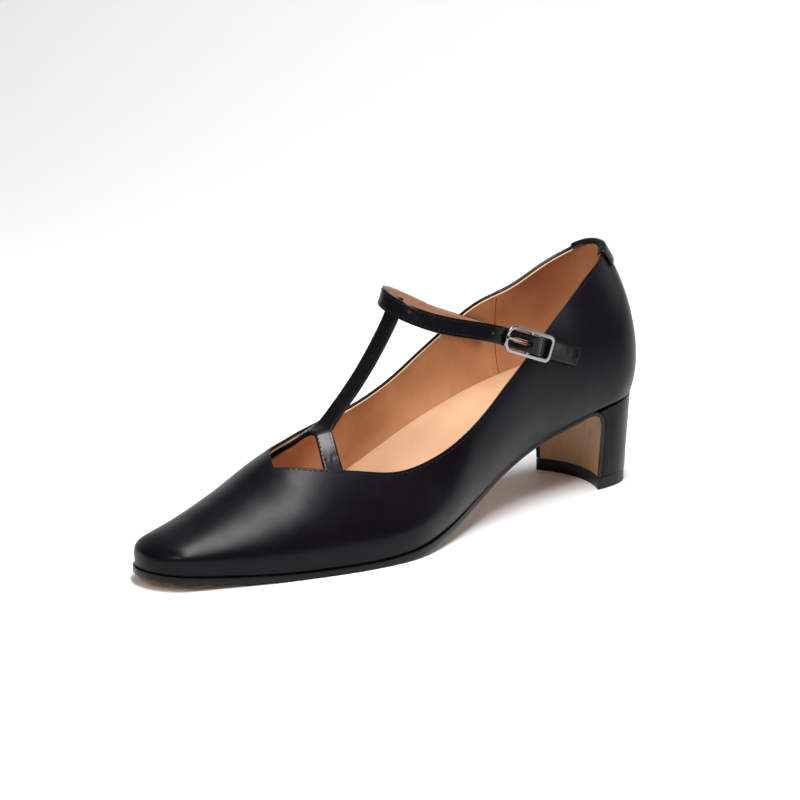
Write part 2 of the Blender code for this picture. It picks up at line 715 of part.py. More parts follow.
def buckle_spot(a, w, n):
    """A point from the buckle's middle: along the strap, across it and outwards."""
    origin, ahead, up, out = buckle_place()
    return origin + ahead * a + up * w + out * n


BAR_REACH = 0.5 * BUCKLE_METAL * sqrt(2)  # middle of the bar out to its edges


def strap_edge_y(x):
    """The same with the rise over the middle bar and what is wrapped round it."""
    middle = buckle_spot(0.0, 0.0, 0.0)
    over = middle.y + BAR_REACH + GAP + TAB_THICKNESS + GAP + 0.5 * STRAP_THICKNESS
    bump = over - strap_rest_y(middle.x)
    return strap_rest_y(x) + bump * exp(-(abs(x - middle.x) / BUMP_LENGTH)**3)


def strap_half(turn):
    """Half the strap's width, upwards, at a turn round the foot: 0 in front, -90 and 90 degrees at the sides."""
    lean = radians(STRAP_LEAN)
    tilt = radians(STRAP_TILT)
    return 0.5 * STRAP_WIDTH * Vector((-sin(lean), -sin(tilt) * sin(turn), cos(lean))).normalized()


def strap_edges():
    """Lower and upper edge points of the ankle strap, from its sewn end over the instep to its tip."""
    half = strap_half(0.0)
    inside = WALL + 1.5 * GAP + 0.5 * STRAP_THICKNESS
    reach = STRAP_FRONT - STRAP_SIDE
    buckle_start = STRAP_SIDE + 0.55 * BUCKLE_LENGTH
    pairs = []
    for i in range(5):
        x = STRAP_EDGE - STRAP_ROOT * (1 - i / 4)
        pair = []
        for sign in (-1, 1):
            spot = Vector((x, 0.0, strap_height(x, -1))) + half * sign
            spot.y = wall_y(spot.x, spot.z, -1) + inside
            pair.append(spot)
        pairs.append(pair)
    turn = acos((buckle_start - STRAP_SIDE) / reach)
    steps = 22
    for i in range(1, steps):
        angle = -0.5 * pi + (turn + 0.5 * pi) * i / steps
        side = -1 if angle < 0 else 1
        width = STRAP_INNER_WIDTH if side < 0 else STRAP_OUTER_WIDTH
        x = STRAP_SIDE + reach * cos(angle)
        spot = Vector((x, width * sin(angle), strap_height(x, side)))
        start = buckle_start if side > 0 else STRAP_SIDE
        tilted = strap_half(angle * min(max((x - start) / TILT_LENGTH, 0.0), 1.0))
        pairs.append([spot - tilted, spot + tilted])
    tail_start = STRAP_SIDE - 0.55 * BUCKLE_LENGTH
    tip = STRAP_SIDE - STRAP_TAIL
    for x in even(buckle_start, tail_start, 20) + even(tail_start, tip, 5) + [tip]:
        centre = Vector((x, strap_edge_y(x), strap_height(x, 1)))
        on_wall = min(max((tail_start - x) / (0.2 * BUCKLE_LENGTH), 0.0), 1.0)
        pair = []
        for sign in (-1, 1):
            spot = centre + half * sign
            if on_wall:
                spot.y += on_wall * (wall_y(spot.x, spot.z, 1) - wall_y(x, centre.z, 1))
            if x == tip:
                spot.x -= sign * STRAP_SLANT
            pair.append(spot)
        pairs.append(pair)
    return pairs


def crown_z(x, y):
    """Height of the last's surface over a place in plan, where it closes over the instep."""
    side = 1 if y >= 0 else -1
    points = section_points((x + SEAT_BACK) / LAST_LENGTH, side)
    top = points[len(points) // 4:]
    for low, high in zip(top, top[1:]):
        if side * low[0] >= side * y >= side * high[0]:
            part = (low[0] - y) / (low[0] - high[0]) if low[0] != high[0] else 0.0
            return low[1] + (high[1] - low[1]) * part
    return points[-1][1]


def crown_point(x, y, depth):
    """A point at a depth under the last's surface, square to it."""
    step = 0.0005
    slope_x = (crown_z(x + step, y) - crown_z(x - step, y)) / (2 * step)
    slope_y = (crown_z(x, y + step) - crown_z(x, y - step)) / (2 * step)
    normal = Vector((-slope_x, -slope_y, 1.0)).normalized()
    return Vector((x, y, crown_z(x, y))) - normal * depth


def make_instep_strap(collection):
    """The T bar: its end sewn behind the ankle strap, the stem, and two branches that dip inside the vamp."""
    lean = radians(STRAP_LEAN)
    up = Vector((-sin(lean), 0.0, cos(lean)))
    out = Vector((cos(lean), 0.0, sin(lean)))
    behind = (Vector((STRAP_FRONT, 0.0, STRAP_FRONT_HEIGHT))
              - out * (0.5 * STRAP_THICKNESS + GAP + CROSSING_EASE + 0.5 * BAR_THICKNESS))
    low = 0.5 * (STRAP_WIDTH + BAR_THICKNESS) + GAP
    end = [behind + up * BAR_END, behind, behind - up * low]
    half = Vector((0.0, 0.5 * BAR_STRAP_WIDTH, 0.0))
    fork = crown_point(BAR_JUNCTION, 0.0, 0.0)
    steps = 8
    run = (fork - end[-1]).normalized()
    sideways = Vector((run.z, 0.0, -run.x))
    stem = end + [end[-1].lerp(fork, i / steps) + sideways * BAR_SAG * sin(pi * i / steps)
                  for i in range(1, steps)]
    points = []
    for spot in stem:
        points += [spot + half, spot - half]
    corners = {side: crown_point(BAR_JUNCTION, side * half.y, 0.0) for side in (1, -1)}
    points += [corners[1], corners[-1]]
    rows = len(stem) + 1
    faces = grid_faces(rows, 2)
    crotch = len(points)
    points.append(crown_point(BAR_JUNCTION + BAR_FORK, 0.0, 0.0))
    faces.append((crotch - 2, crotch - 1, crotch))
    inside = WALL + GAP + 0.5 * BAR_THICKNESS
    for side in (1, -1):
        back_y, front_y = [side * reach for reach in (BRANCH_OUTER if side > 0 else BRANCH_INNER)]
        previous = (crotch - 2 if side > 0 else crotch - 1, crotch)
        steps = 7
        for i in range(1, steps + 1):
            t = (1 + BRANCH_TUCK) * i / steps
            sunk = min(t / 0.75, 1.0)
            depth = inside * sunk * sunk * (3 - 2 * sunk)
            back = crown_point(BAR_JUNCTION + (BRANCH_BACK - BAR_JUNCTION) * t,
                               side * half.y + (back_y - side * half.y) * t, depth)
            front = crown_point(BAR_JUNCTION + BAR_FORK + (BRANCH_FRONT - BAR_JUNCTION - BAR_FORK) * t,
                                front_y * t, depth)
            points += [back, front]
            new = (len(points) - 2, len(points) - 1)
            faces.append((previous[0], previous[1], new[1], new[0]))
            previous = new
    strap = mesh_object("instep_strap", points, faces, collection)
    add_modifier(strap, "SOLIDIFY", thickness=BAR_THICKNESS, offset=0.0, use_even_offset=True)
    return finish(strap, STRAP_LEATHER, 0.22)


def cutter_box(name, spans, cutters):
    """A box cutter over spans of the buckle's own directions."""
    bpy.ops.mesh.primitive_cube_add(size=1.0)
    box = bpy.context.object
    box.name = name
    for vertex in box.data.vertices:
        share = vertex.co + Vector((0.5, 0.5, 0.5))
        vertex.co = buckle_spot(*[low + (high - low) * part for (low, high), part in zip(spans, share)])
    flip_inside_out(box.data)
    for owner in list(box.users_collection):
        owner.objects.unlink(box)
    cutters.objects.link(box)
    box.hide_render = True
    box.display_type = "WIRE"
    return box


def flip_inside_out(mesh):
    """Turn a mesh's faces outwards after its points were placed."""
    work = bmesh.new()
    work.from_mesh(mesh)
    bmesh.ops.recalc_face_normals(work, faces=work.faces)
    work.to_mesh(mesh)
    work.free()


def make_ankle_strap(collection, cutters):
    pairs = strap_edges()
    columns = 2
    points = []
    for low, high in pairs:
        points += [low.lerp(high, k / columns) for k in range(columns + 1)]
    strap = mesh_object("ankle_strap", points, grid_faces(len(pairs), columns + 1), collection)
    add_modifier(strap, "SOLIDIFY", thickness=STRAP_THICKNESS, offset=0.0, use_even_offset=True)
    half = 0.5 * HOLE_WIDTH
    hole = cutter_box("prong_hole_cutter", ((HOLE_START, HOLE_START + HOLE_LENGTH), (-half, half),
                                            (-4 * STRAP_THICKNESS, 4 * STRAP_THICKNESS)), cutters)
    add_modifier(strap, "BOOLEAN", operation="DIFFERENCE", object=hole, solver="EXACT")
    return finish(strap, STRAP_LEATHER, 0.22)


def make_buckle_tab(collection, cutters):
    """The tab that holds the buckle: round the middle bar, and back along the quarter under the strap."""
    radius = BAR_REACH + GAP + 0.5 * TAB_THICKNESS
    half = 0.5 * TAB_WIDTH
    pairs = []
    for i in range(10):
        angle = radians(-75 + 255 * i / 9)
        pairs.append([buckle_spot(radius * cos(angle), w, radius * sin(angle)) for w in (-half, half)])
    rest = GAP + 0.5 * TAB_THICKNESS
    bar_end = pairs[-1]
    steps = 7
    for i in range(1, steps + 1):
        a = -radius - (TAB_LENGTH - radius) * i / steps
        pair = []
        for w, end in zip((-half, half), bar_end):
            spot = buckle_spot(a, w, 0.0)
            down = min(i / 3, 1.0)
            down = down * down * (3 - 2 * down)
            spot.y = end.y + (wall_y(spot.x, spot.z, 1) + rest - end.y) * down
            pair.append(spot)
        pairs.append(pair)
    tab = ribbon("buckle_tab", pairs, TAB_THICKNESS, collection)
    slot = 0.5 * PRONG_WIRE + 2 * GAP
    reach = radius + PRONG_WIRE + GAP
    cut = cutter_box("prong_slot_cutter", ((-reach, reach), (-slot, slot), (-reach, reach)), cutters)
    add_modifier(tab, "BOOLEAN", operation="DIFFERENCE", object=cut, solver="EXACT")
    return finish(tab, STRAP_LEATHER, 0.3)


def rounded_rectangle(low_a, high_a, half_w, radii, steps=4):
    """Outline points of a rectangle, its corners rounded at the high and low end by the two radii."""
    outline = []
    near, far = radii
    centres = ((high_a - near, half_w - near, 0, near), (low_a + far, half_w - far, 1, far),
               (low_a + far, far - half_w, 2, far), (high_a - near, near - half_w, 3, near))
    for a, w, quarter, radius in centres:
        for i in range(steps + 1):
            angle = 0.5 * pi * (quarter + i / steps)
            outline.append((a + radius * cos(angle), w + radius * sin(angle)))
    return outline


def make_buckle_frame(collection):
    """The centre bar buckle: one flat outline with two windows, the bar standing between them."""
    curve = bpy.data.curves.new("buckle_outline", "CURVE")
    curve.dimensions = "2D"
    curve.fill_mode = "BOTH"
    curve.extrude = 0.5 * BUCKLE_METAL
    half_a = 0.5 * BUCKLE_LENGTH
    half_w = 0.5 * BUCKLE_WIDTH
    inner = [r - BUCKLE_BAND for r in BUCKLE_CORNERS]
    bar = 0.5 * BUCKLE_METAL
    square = 0.2 * BUCKLE_METAL
    loops = (rounded_rectangle(-half_a, half_a, half_w, BUCKLE_CORNERS),
             rounded_rectangle(bar, half_a - BUCKLE_BAND, half_w - BUCKLE_BAND, (inner[0], square)),
             rounded_rectangle(BUCKLE_BAND - half_a, -bar, half_w - BUCKLE_BAND, (square, inner[1])))
    for loop in loops:
        spline = curve.splines.new("POLY")
        spline.points.add(len(loop) - 1)
        for point, (a, w) in zip(spline.points, loop):
            point.co = (a, w, 0.0, 1.0)
        spline.use_cyclic_u = True
    return placed_curve("buckle_frame", curve, collection)


def placed_curve(name, curve, collection):
    """A curve made a welded mesh in the buckle's own directions."""
    guide = bpy.data.objects.new(name + "_curve", curve)
    collection.objects.link(guide)
    bpy.context.view_layer.update()
    evaluated = guide.evaluated_get(bpy.context.evaluated_depsgraph_get())
    mesh = bpy.data.meshes.new_from_object(evaluated)
    for vertex in mesh.vertices:
        vertex.co = buckle_spot(*vertex.co)
    work = bmesh.new()
    work.from_mesh(mesh)
    bmesh.ops.remove_doubles(work, verts=work.verts, dist=0.000001)
    bmesh.ops.recalc_face_normals(work, faces=work.faces)
    work.to_mesh(mesh)
    work.free()
    bpy.data.objects.remove(guide)
    thing = bpy.data.objects.new(name, mesh)
    collection.objects.link(thing)
    return finish(thing, STEEL, 0.2, metallic=1.0)


def make_buckle_prong(collection):
    """The prong: an eye round the middle bar, and a straight pin that rests on the frame's front bar."""
    radius = BAR_REACH + GAP + 0.5 * PRONG_WIRE
    pin_n = 0.5 * BUCKLE_METAL + GAP + 0.5 * PRONG_WIRE
    path = []
    for i in range(9):
        angle = radians(-40 - 230 * i / 8)
        path.append((radius * cos(angle), radius * sin(angle)))
    tip = 0.5 * BUCKLE_LENGTH
    for i in range(1, 5):
        path.append((0.12 * tip + 0.88 * tip * i / 4, pin_n + (radius - pin_n) * (1 - i / 4)**2))
    curve = bpy.data.curves.new("prong_line", "CURVE")
    curve.dimensions = "3D"
    curve.bevel_depth = 0.5 * PRONG_WIRE
    curve.bevel_resolution = 2
    curve.use_fill_caps = True
    spline = curve.splines.new("POLY")
    spline.points.add(len(path) - 1)
    for point, (a, n) in zip(spline.points, path):
        point.co = (a, 0.0, n, 1.0)
    return placed_curve("buckle_prong", curve, collection)


# Back tab

def topline_band(name, stations, drop, rise, outward, inward, collection):
    """A solid along the topline round the back: how far it goes down, up, outwards and inwards from the edge."""
    order = [(along, 1) for along in stations[::-1]] + [(along, -1) for along in stations[1:]]
    points = []
    step = 0.02
    for along, side in order:
        top = topline_share(along, side)
        rate = step / (last_point(along, side, top) - last_point(along, side, top - step)).length
        points += [last_point(along, side, top + rate * up) for up in (-drop, -0.5 * drop, 0.0, rise)]
    faces = [quad[::-1] for quad in grid_faces(len(order), 4)]
    band = mesh_object(name, points, faces, collection, turned_out=True)
    depth = outward + inward
    add_modifier(band, "SOLIDIFY", thickness=depth, offset=2 * outward / depth - 1, use_even_offset=True)
    return band


def make_back_tab(collection, cutters):
    """The small tab that covers the back seam's upper end and the edge above it."""
    skin = GAP + BACK_TAB_THICKNESS
    stations = BACK_STATIONS[:BACK_TAB_STATIONS]
    longer = BACK_STATIONS[:BACK_TAB_STATIONS + 1]
    tab = topline_band("back_tab", stations, BACK_TAB_DROP, skin, skin, WALL, collection)
    slot = topline_band("back_tab_slot", longer, 1.5 * BACK_TAB_DROP, GAP, GAP, 2 * WALL, cutters)
    slot.hide_render = True
    slot.display_type = "WIRE"
    add_modifier(tab, "BOOLEAN", operation="DIFFERENCE", object=slot, solver="EXACT")
    return finish(tab, LEATHER, 0.3)


# Colours

LEATHER = (0.012, 0.012, 0.014)
STRAP_LEATHER = (0.010, 0.010, 0.012)
SOCK = (0.74, 0.50, 0.30)
SOLE_LEATHER = (0.020, 0.019, 0.018)
RUBBER = (0.015, 0.015, 0.015)
STEEL = (0.80, 0.80, 0.80)


def main():
    for old in list(bpy.data.objects):
        bpy.data.objects.remove(old, do_unlink=True)
    collection = bpy.data.collections.new(PART_NAME)
    bpy.context.scene.collection.children.link(collection)
    make_upper(collection)
    make_insole(collection)
    make_outsole(collection)
    make_heel(collection)
    make_top_lift(collection)
    cutters = bpy.data.collections.new("cutters")
    bpy.context.scene.collection.children.link(cutters)
    make_instep_strap(collection)
    make_ankle_strap(collection, cutters)
    make_buckle_tab(collection, cutters)
    make_buckle_frame(collection)
    make_buckle_prong(collection)
    make_back_tab(collection, cutters)


main()
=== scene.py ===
# %% [markdown]
# # A black T strap shoe on a block heel
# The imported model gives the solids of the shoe: upper, insole, sole, heel and straps. This lesson dresses
# them: each piece is made again from the same sections of the last, only finer, and gets its leather,
# stitches and edges. The toe points along +X, the buckle's side is +Y, and the floor is at Z = 0. Sizes are
# in metres.

# %% Frame
from collections import namedtuple
from functools import lru_cache
from math import acos, cos, exp, pi, radians, sin, sqrt

import bmesh
import bpy
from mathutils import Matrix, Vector
from mathutils.bvhtree import BVHTree


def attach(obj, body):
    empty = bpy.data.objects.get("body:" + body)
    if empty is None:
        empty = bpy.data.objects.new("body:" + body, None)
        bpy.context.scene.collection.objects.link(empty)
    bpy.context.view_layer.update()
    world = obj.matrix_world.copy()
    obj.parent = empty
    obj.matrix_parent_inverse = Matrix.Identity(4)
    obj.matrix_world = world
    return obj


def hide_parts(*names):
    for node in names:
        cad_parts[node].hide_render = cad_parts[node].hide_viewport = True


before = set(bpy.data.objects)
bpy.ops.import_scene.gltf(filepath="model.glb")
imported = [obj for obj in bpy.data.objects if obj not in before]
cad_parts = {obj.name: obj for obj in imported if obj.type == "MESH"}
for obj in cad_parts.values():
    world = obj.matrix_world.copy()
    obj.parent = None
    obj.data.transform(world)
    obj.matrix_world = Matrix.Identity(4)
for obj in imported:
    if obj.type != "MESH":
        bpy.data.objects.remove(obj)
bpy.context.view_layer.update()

# %% [markdown]
# ## Camera
# The photo was taken from the front of the outer side, a little above the shoe, with a long lens. A long lens
# far away keeps the toe and the heel nearly in one scale. The camera looks at one point of the shoe's axis.

# %% Camera
CAMERA_TARGET = Vector((0.1037, 0.0, 0.0514))
CAMERA_TURN = 40.2      # degrees from the side towards the toe
CAMERA_RISE = 15.7      # degrees above the floor
CAMERA_DISTANCE = 1.300
FOCAL_MM = 146.9

turn, rise = radians(CAMERA_TURN), radians(CAMERA_RISE)
back = Vector((sin(turn) * cos(rise), cos(turn) * cos(rise), sin(rise)))
camera = bpy.data.objects.new("camera", bpy.data.cameras.new("camera"))
bpy.context.scene.collection.objects.link(camera)
camera.data.lens = FOCAL_MM
camera.data.sensor_width = 36.0
camera.location = CAMERA_TARGET + back * CAMERA_DISTANCE
camera.rotation_mode = "QUATERNION"
camera.rotation_quaternion = (-back).to_track_quat("-Z", "Y")
bpy.context.scene.camera = camera
print("camera at", tuple(round(v, 3) for v in camera.location))

# %% [markdown]
# ## The last
# A shoe is built round a last, a solid form of the foot. Its sections are the one description that all pieces
# share: the feather line is where the wall meets the sole, and the ridge is the top of the instep. The same
# sizes and tables as in the solid model are used, so that the fine pieces lie in the same place.

# %% Sizes
# Last: overall sizes
LAST_LENGTH = 0.2433        # seat edge at the back to the tip of the toe, along the feather line
BALL_WIDTH = 0.0750         # across the feather line at the ball
HEEL_HEIGHT = 0.0393        # floor to the feather line at the back
INSTEP_HEIGHT = 0.0490      # feather line to the ridge of the instep, behind the throat
TOE_SPRING = 0.0042         # rise of the toe over the ball
SEAT_BACK = 0.0140          # middle of the heel's tread back to the seat edge
SEAT_ROUND = 0.0245         # length over which the seat rounds off at the back
TOE_ROUND = 0.0110          # length over which the toe rounds off at the tip
BACK_LEAN = 0.0104          # how far the topline at the back stands forward of the seat edge
BACK_HEIGHT = 0.0612        # feather line to topline, up the back seam
LEAN_REACH = 0.0800         # length from the back over which that lean fades out

# Leather, sole and heel
WALL = 0.0018               # upper with its lining
GAP = 0.0003                # clearance between pieces that touch
SOLE_THICKNESS = 0.0025
SOLE_EDGE = 0.0009          # how far the sole shows beyond the feather line in the forefoot
INSOLE_THICKNESS = 0.0034   # sock and board in the forefoot
INSOLE_HEEL = 0.0060        # the same with the heel pad
INSOLE_CURL = 0.0030        # how far the sock's inner edge climbs the arch
FLAP_THICKNESS = 0.0017     # the sole's flap down the breast of the heel
TREAD_LENGTH = 0.0240       # heel tread, breast corners to back
TREAD_WIDTH = 0.0380        # heel tread at the breast corners
BREAST_HOLLOW = 0.0057      # how deep the breast is hollowed between its corners
BREAST_FLARE = 0.0085       # length of the curve from the breast into the waist
LIFT_THICKNESS = 0.0050

# Straps, buckle and tab
STRAP_WIDTH = 0.0072
STRAP_THICKNESS = 0.0017
STRAP_FRONT = 0.1095        # heel's middle forward to the ankle strap over the instep
STRAP_FRONT_HEIGHT = 0.0922
STRAP_SIDE = 0.0618         # heel's middle forward to the buckle's middle
STRAP_OUTER_HEIGHT = 0.0735
STRAP_INNER_HEIGHT = 0.0735
STRAP_OUTER_WIDTH = 0.0285  # shoe's axis out to the strap at the buckle
STRAP_INNER_WIDTH = 0.0224
STRAP_DIP = 0.0028          # how far the strap dips between front and buckle on the outer side
STRAP_RISE = 0.0030         # how far it rises between front and root on the inner side
STRAP_LEAN = 15.0           # degrees the band leans back from upright
STRAP_TILT = 20.0           # degrees its sides lean in over the foot
TILT_LENGTH = 0.0120        # length over which that lean sets in
STRAP_SLANT = 0.0012        # how far the upper corner of the tip stands behind its middle
STRAP_TAIL = 0.0290         # buckle's middle to the strap's tip
STRAP_EDGE = 0.0500         # heel's middle forward to where the strap dips inside the inner quarter
STRAP_ROOT = 0.0100         # length sewn inside the inner quarter
BUCKLE_LIFT = 0.0012        # how far the buckle holds the strap off the tab behind it
BUMP_LENGTH = 0.0060        # half length of that rise
HOLE_START = 0.0008         # middle bar to the slot that the prong passes through
HOLE_LENGTH = 0.0076
HOLE_WIDTH = 0.0020
BAR_STRAP_WIDTH = 0.0078    # the T bar
BAR_THICKNESS = 0.0018
BAR_END = 0.0030            # how far its sewn end reaches up behind the ankle strap's middle
BAR_JUNCTION = 0.1425       # heel's middle forward to where the T bar forks
BAR_FORK = 0.0055           # fork to the crotch between the branches
CROSSING_EASE = 0.0010      # extra room between it and the ankle strap, which curves there
BAR_SAG = 0.0022            # how far the stem hangs in towards the foot
BRANCH_BACK = 0.1485        # heel's middle forward to a branch's back corner at the topline
BRANCH_FRONT = 0.1555       # the same to its front corner
BRANCH_OUTER = (0.0206, 0.0176)     # shoe's axis out to those corners, back and front
BRANCH_INNER = (0.0176, 0.0152)
BRANCH_TUCK = 0.40          # share of a branch's length that runs on inside the vamp
TAB_THICKNESS = 0.0009
TAB_WIDTH = 0.0068
TAB_LENGTH = 0.0150         # middle bar back along the quarter
BUCKLE_LENGTH = 0.0255      # along the strap
BUCKLE_WIDTH = 0.0112       # across the strap
BUCKLE_BAND = 0.0015        # width of the frame's metal, seen from outside
BUCKLE_METAL = 0.0012       # its thickness, and the middle bar's width
BUCKLE_CORNERS = (0.0046, 0.0026)  # radii at the strap's entry and at the tip's side
PRONG_WIRE = 0.0011
BACK_TAB_STATIONS = 5       # stations of the upper that it covers on each side
BACK_TAB_DROP = 0.0065      # down the outside
BACK_TAB_THICKNESS = 0.0008

# %% Sections and topline
# Sections of the last. along: share of LAST_LENGTH from the back of the seat. outer, inner: half widths of
# the feather line, and swell: how far the widest line stands beyond it, as shares of BALL_WIDTH. axis:
# sideways place of the ridge, a share of BALL_WIDTH. lift: feather line, a share of the heel's rise. arch:
# how much higher the inner feather line is, the same share. spring: share of TOE_SPRING. crown, hip: ridge
# and widest line over the feather line, shares of INSTEP_HEIGHT. round_out, round_in: fullness between them,
# 2 for an ellipse and less for a flatter slope.
Section = namedtuple(
    "Section", "along outer inner axis lift arch spring crown hip swell round_out round_in")
SECTIONS = [
    Section(0.00, 0.300, 0.300, 0.000, 1.000, 0.00, 0.00, 1.36, 0.30, 0.038, 1.8, 1.8),
    Section(0.05, 0.302, 0.302, 0.000, 0.975, 0.00, 0.00, 1.36, 0.30, 0.040, 1.7, 1.7),
    Section(0.11, 0.297, 0.297, 0.000, 0.925, 0.03, 0.00, 1.36, 0.31, 0.043, 1.7, 1.7),
    Section(0.18, 0.280, 0.284, 0.000, 0.810, 0.09, 0.00, 1.35, 0.37, 0.066, 1.8, 1.8),
    Section(0.26, 0.271, 0.275, 0.000, 0.655, 0.15, 0.00, 1.42, 0.45, 0.087, 2.3, 2.3),
    Section(0.34, 0.296, 0.293, 0.000, 0.455, 0.18, 0.00, 1.37, 0.47, 0.093, 2.3, 2.4),
    Section(0.42, 0.368, 0.347, 0.000, 0.268, 0.15, 0.00, 1.21, 0.37, 0.058, 2.2, 2.6),
    Section(0.50, 0.457, 0.407, 0.000, 0.122, 0.08, 0.00, 1.10, 0.22, 0.030, 1.6, 2.6),
    Section(0.58, 0.524, 0.444, 0.000, 0.037, 0.02, 0.00, 1.00, 0.18, 0.016, 1.4, 2.1),
    Section(0.66, 0.507, 0.456, 0.000, 0.000, 0.00, 0.00, 0.89, 0.16, 0.013, 1.5, 1.8),
    Section(0.74, 0.448, 0.435, -0.005, 0.000, 0.00, 0.00, 0.78, 0.15, 0.013, 1.6, 1.6),
    Section(0.82, 0.367, 0.377, -0.012, 0.000, 0.00, 0.10, 0.57, 0.14, 0.013, 1.7, 1.6),
    Section(0.90, 0.266, 0.289, -0.020, 0.000, 0.00, 0.42, 0.38, 0.13, 0.013, 1.8, 1.7),
    Section(0.96, 0.185, 0.220, -0.028, 0.000, 0.00, 0.75, 0.26, 0.12, 0.013, 2.0, 1.9),
    Section(1.00, 0.126, 0.189, -0.0315, 0.000, 0.00, 1.00, 0.19, 0.11, 0.011, 2.1, 2.1),
]

# Topline: how far up each section the leather goes, as a share of the way from feather line to ridge
Topline = namedtuple("Topline", "along outer inner")
TOPLINE = [
    Topline(0.00, 0.851, 0.851),
    Topline(0.05, 0.797, 0.797),
    Topline(0.11, 0.735, 0.733),
    Topline(0.18, 0.656, 0.647),
    Topline(0.26, 0.550, 0.527),
    Topline(0.34, 0.490, 0.458),
    Topline(0.42, 0.446, 0.439),
    Topline(0.50, 0.445, 0.467),
    Topline(0.58, 0.493, 0.567),
    Topline(0.66, 0.635, 0.700),
    Topline(0.70, 0.716, 0.762),
    Topline(0.72, 0.775, 0.860),
    Topline(0.75, 0.895, 1.080),
]
THROAT = 0.762              # share of LAST_LENGTH where the tip of the throat lies
THROAT_SIDE = 0.10          # how far the tip lies to the outer side of the ridge, a share of the section
THROAT_ROUND = 0.007        # share of LAST_LENGTH over which the tip rounds off
THROAT_TURN = 0.66          # share of LAST_LENGTH in front of which the topline may turn across the shoe
FAN_END = 0.840             # share of LAST_LENGTH where the rows that start on the throat's edge line up
BACK_SOFTEN = 0.012         # share of LAST_LENGTH over which the topline levels out at the back seam

# %% Curves through the tables
def smooth(table, column, along):
    """Value of a column at a share of the length, on a smooth curve through the table's rows."""
    xs = [row.along for row in table]
    ys = [getattr(row, column) for row in table]
    along = min(max(along, xs[0]), xs[-1])
    k = max(i for i in range(len(xs) - 1) if xs[i] <= along)
    step = xs[k + 1] - xs[k]

    def slope(i):
        low, high = max(i - 1, 0), min(i + 1, len(xs) - 1)
        return (ys[high] - ys[low]) / (xs[high] - xs[low])

    t = (along - xs[k]) / step
    return ((2 * t**3 - 3 * t**2 + 1) * ys[k] + (t**3 - 2 * t**2 + t) * step * slope(k)
            + (3 * t**2 - 2 * t**3) * ys[k + 1] + (t**3 - t**2) * step * slope(k + 1))


def rounded(distance, length, power=2.0):
    """0 at an end, 1 beyond the rounded length, along a superellipse."""
    near = 1 - min(max(distance / length, 0.0), 1.0)
    return (1 - near**power) ** (1 / power)


@lru_cache(maxsize=None)
def column(name, along):
    return smooth(SECTIONS, name, along)


def back_share(along):
    """Share of the full width where the seat rounds off."""
    return rounded(along * LAST_LENGTH, SEAT_ROUND, 2.3)


def toe_share(along):
    """Share of the full width where the toe rounds off."""
    return rounded((1 - along) * LAST_LENGTH, TOE_ROUND, 2.2)


def feather_height(along, side):
    """Height of the feather line on the outer side (+1) or the inner side (-1)."""
    rise = HEEL_HEIGHT - SOLE_THICKNESS - GAP
    share = max(column("lift", along), 0.0)
    if side < 0:
        share += max(column("arch", along), 0.0)
    return SOLE_THICKNESS + GAP + rise * share + TOE_SPRING * max(column("spring", along), 0.0)


def crown_rise(along):
    """Ridge over the feather line, lower at the rounded tip."""
    tip = 0.62 + 0.38 * rounded((1 - along) * LAST_LENGTH, 0.9 * TOE_ROUND)
    return column("crown", along) * INSTEP_HEIGHT * tip


def hip_rise(along):
    return min(column("hip", along) * INSTEP_HEIGHT, 0.5 * crown_rise(along))


@lru_cache(maxsize=None)
def section_points(along, side, steps=36):
    """Fine points y, z of half a section, from feather line to ridge, before the back is rounded."""
    name, fullness = ("outer", "round_out") if side > 0 else ("inner", "round_in")
    base = feather_height(along, side)
    edge = column(name, along) * BALL_WIDTH
    swell = column("swell", along) * BALL_WIDTH
    hip = hip_rise(along)
    crown = feather_height(along, 1) + crown_rise(along)
    power = 2 / column(fullness, along)
    axis = column("axis", along) * BALL_WIDTH
    reach = (edge + swell - side * axis) * toe_share(along)
    swell *= toe_share(along)
    points = []
    for i in range(steps // 3):
        t = 3 * i / steps
        points.append((axis + side * (reach - swell * (1 - t)**2), base + hip * t))
    for i in range(steps + 1):
        angle = 0.5 * pi * i / steps
        points.append((axis + side * reach * max(cos(angle), 0.0)**power,
                       base + hip + (crown - base - hip) * sin(angle)**power))
    return points


def point_at(points, share):
    """The point at a share of a polyline's length."""
    lengths = [0.0]
    for a, b in zip(points, points[1:]):
        lengths.append(lengths[-1] + sqrt((b[0] - a[0])**2 + (b[1] - a[1])**2))
    goal = min(max(share, 0.0), 1.0) * lengths[-1]
    for k in range(len(points) - 1):
        if goal <= lengths[k + 1]:
            t = (goal - lengths[k]) / max(lengths[k + 1] - lengths[k], 1e-12)
            return tuple(a + (b - a) * t for a, b in zip(points[k], points[k + 1]))
    return points[-1]


def last_x(along, height):
    """Place along the shoe, with the back leaning forward over the seat."""
    fade = max(0.0, 1 - along * LAST_LENGTH / LEAN_REACH)**2
    up = (height - feather_height(along, 1)) / BACK_HEIGHT
    return along * LAST_LENGTH - SEAT_BACK + BACK_LEAN * fade * (2 * up * up - up)


def last_point(along, side, share):
    """A point of the last's surface: share 0 on the feather line, 1 on the ridge, more on the other side."""
    if share > 1:
        side, share = -side, 2 - share
    y, height = point_at(section_points(along, side), share)
    return Vector((last_x(along, height), y * back_share(along), height))


def topline_share(along, side):
    """How far up the section the leather goes: the topline, and in front of the throat its tip's line."""
    tip = 1 - side * THROAT_SIDE
    if along >= THROAT:
        return tip
    edge = smooth(TOPLINE, "outer" if side > 0 else "inner", along * along / (along + BACK_SOFTEN))
    return tip - (tip - edge) * rounded(THROAT - along, THROAT_ROUND)


def ease_in(start, end, count):
    """Values from start to end, close together at the start."""
    return [start + (end - start) * (1 - cos(0.5 * pi * i / count)) for i in range(count)]


def ease_out(start, end, count):
    """Values from start to end, close together at the end."""
    return [start + (end - start) * sin(0.5 * pi * i / count) for i in range(count)]


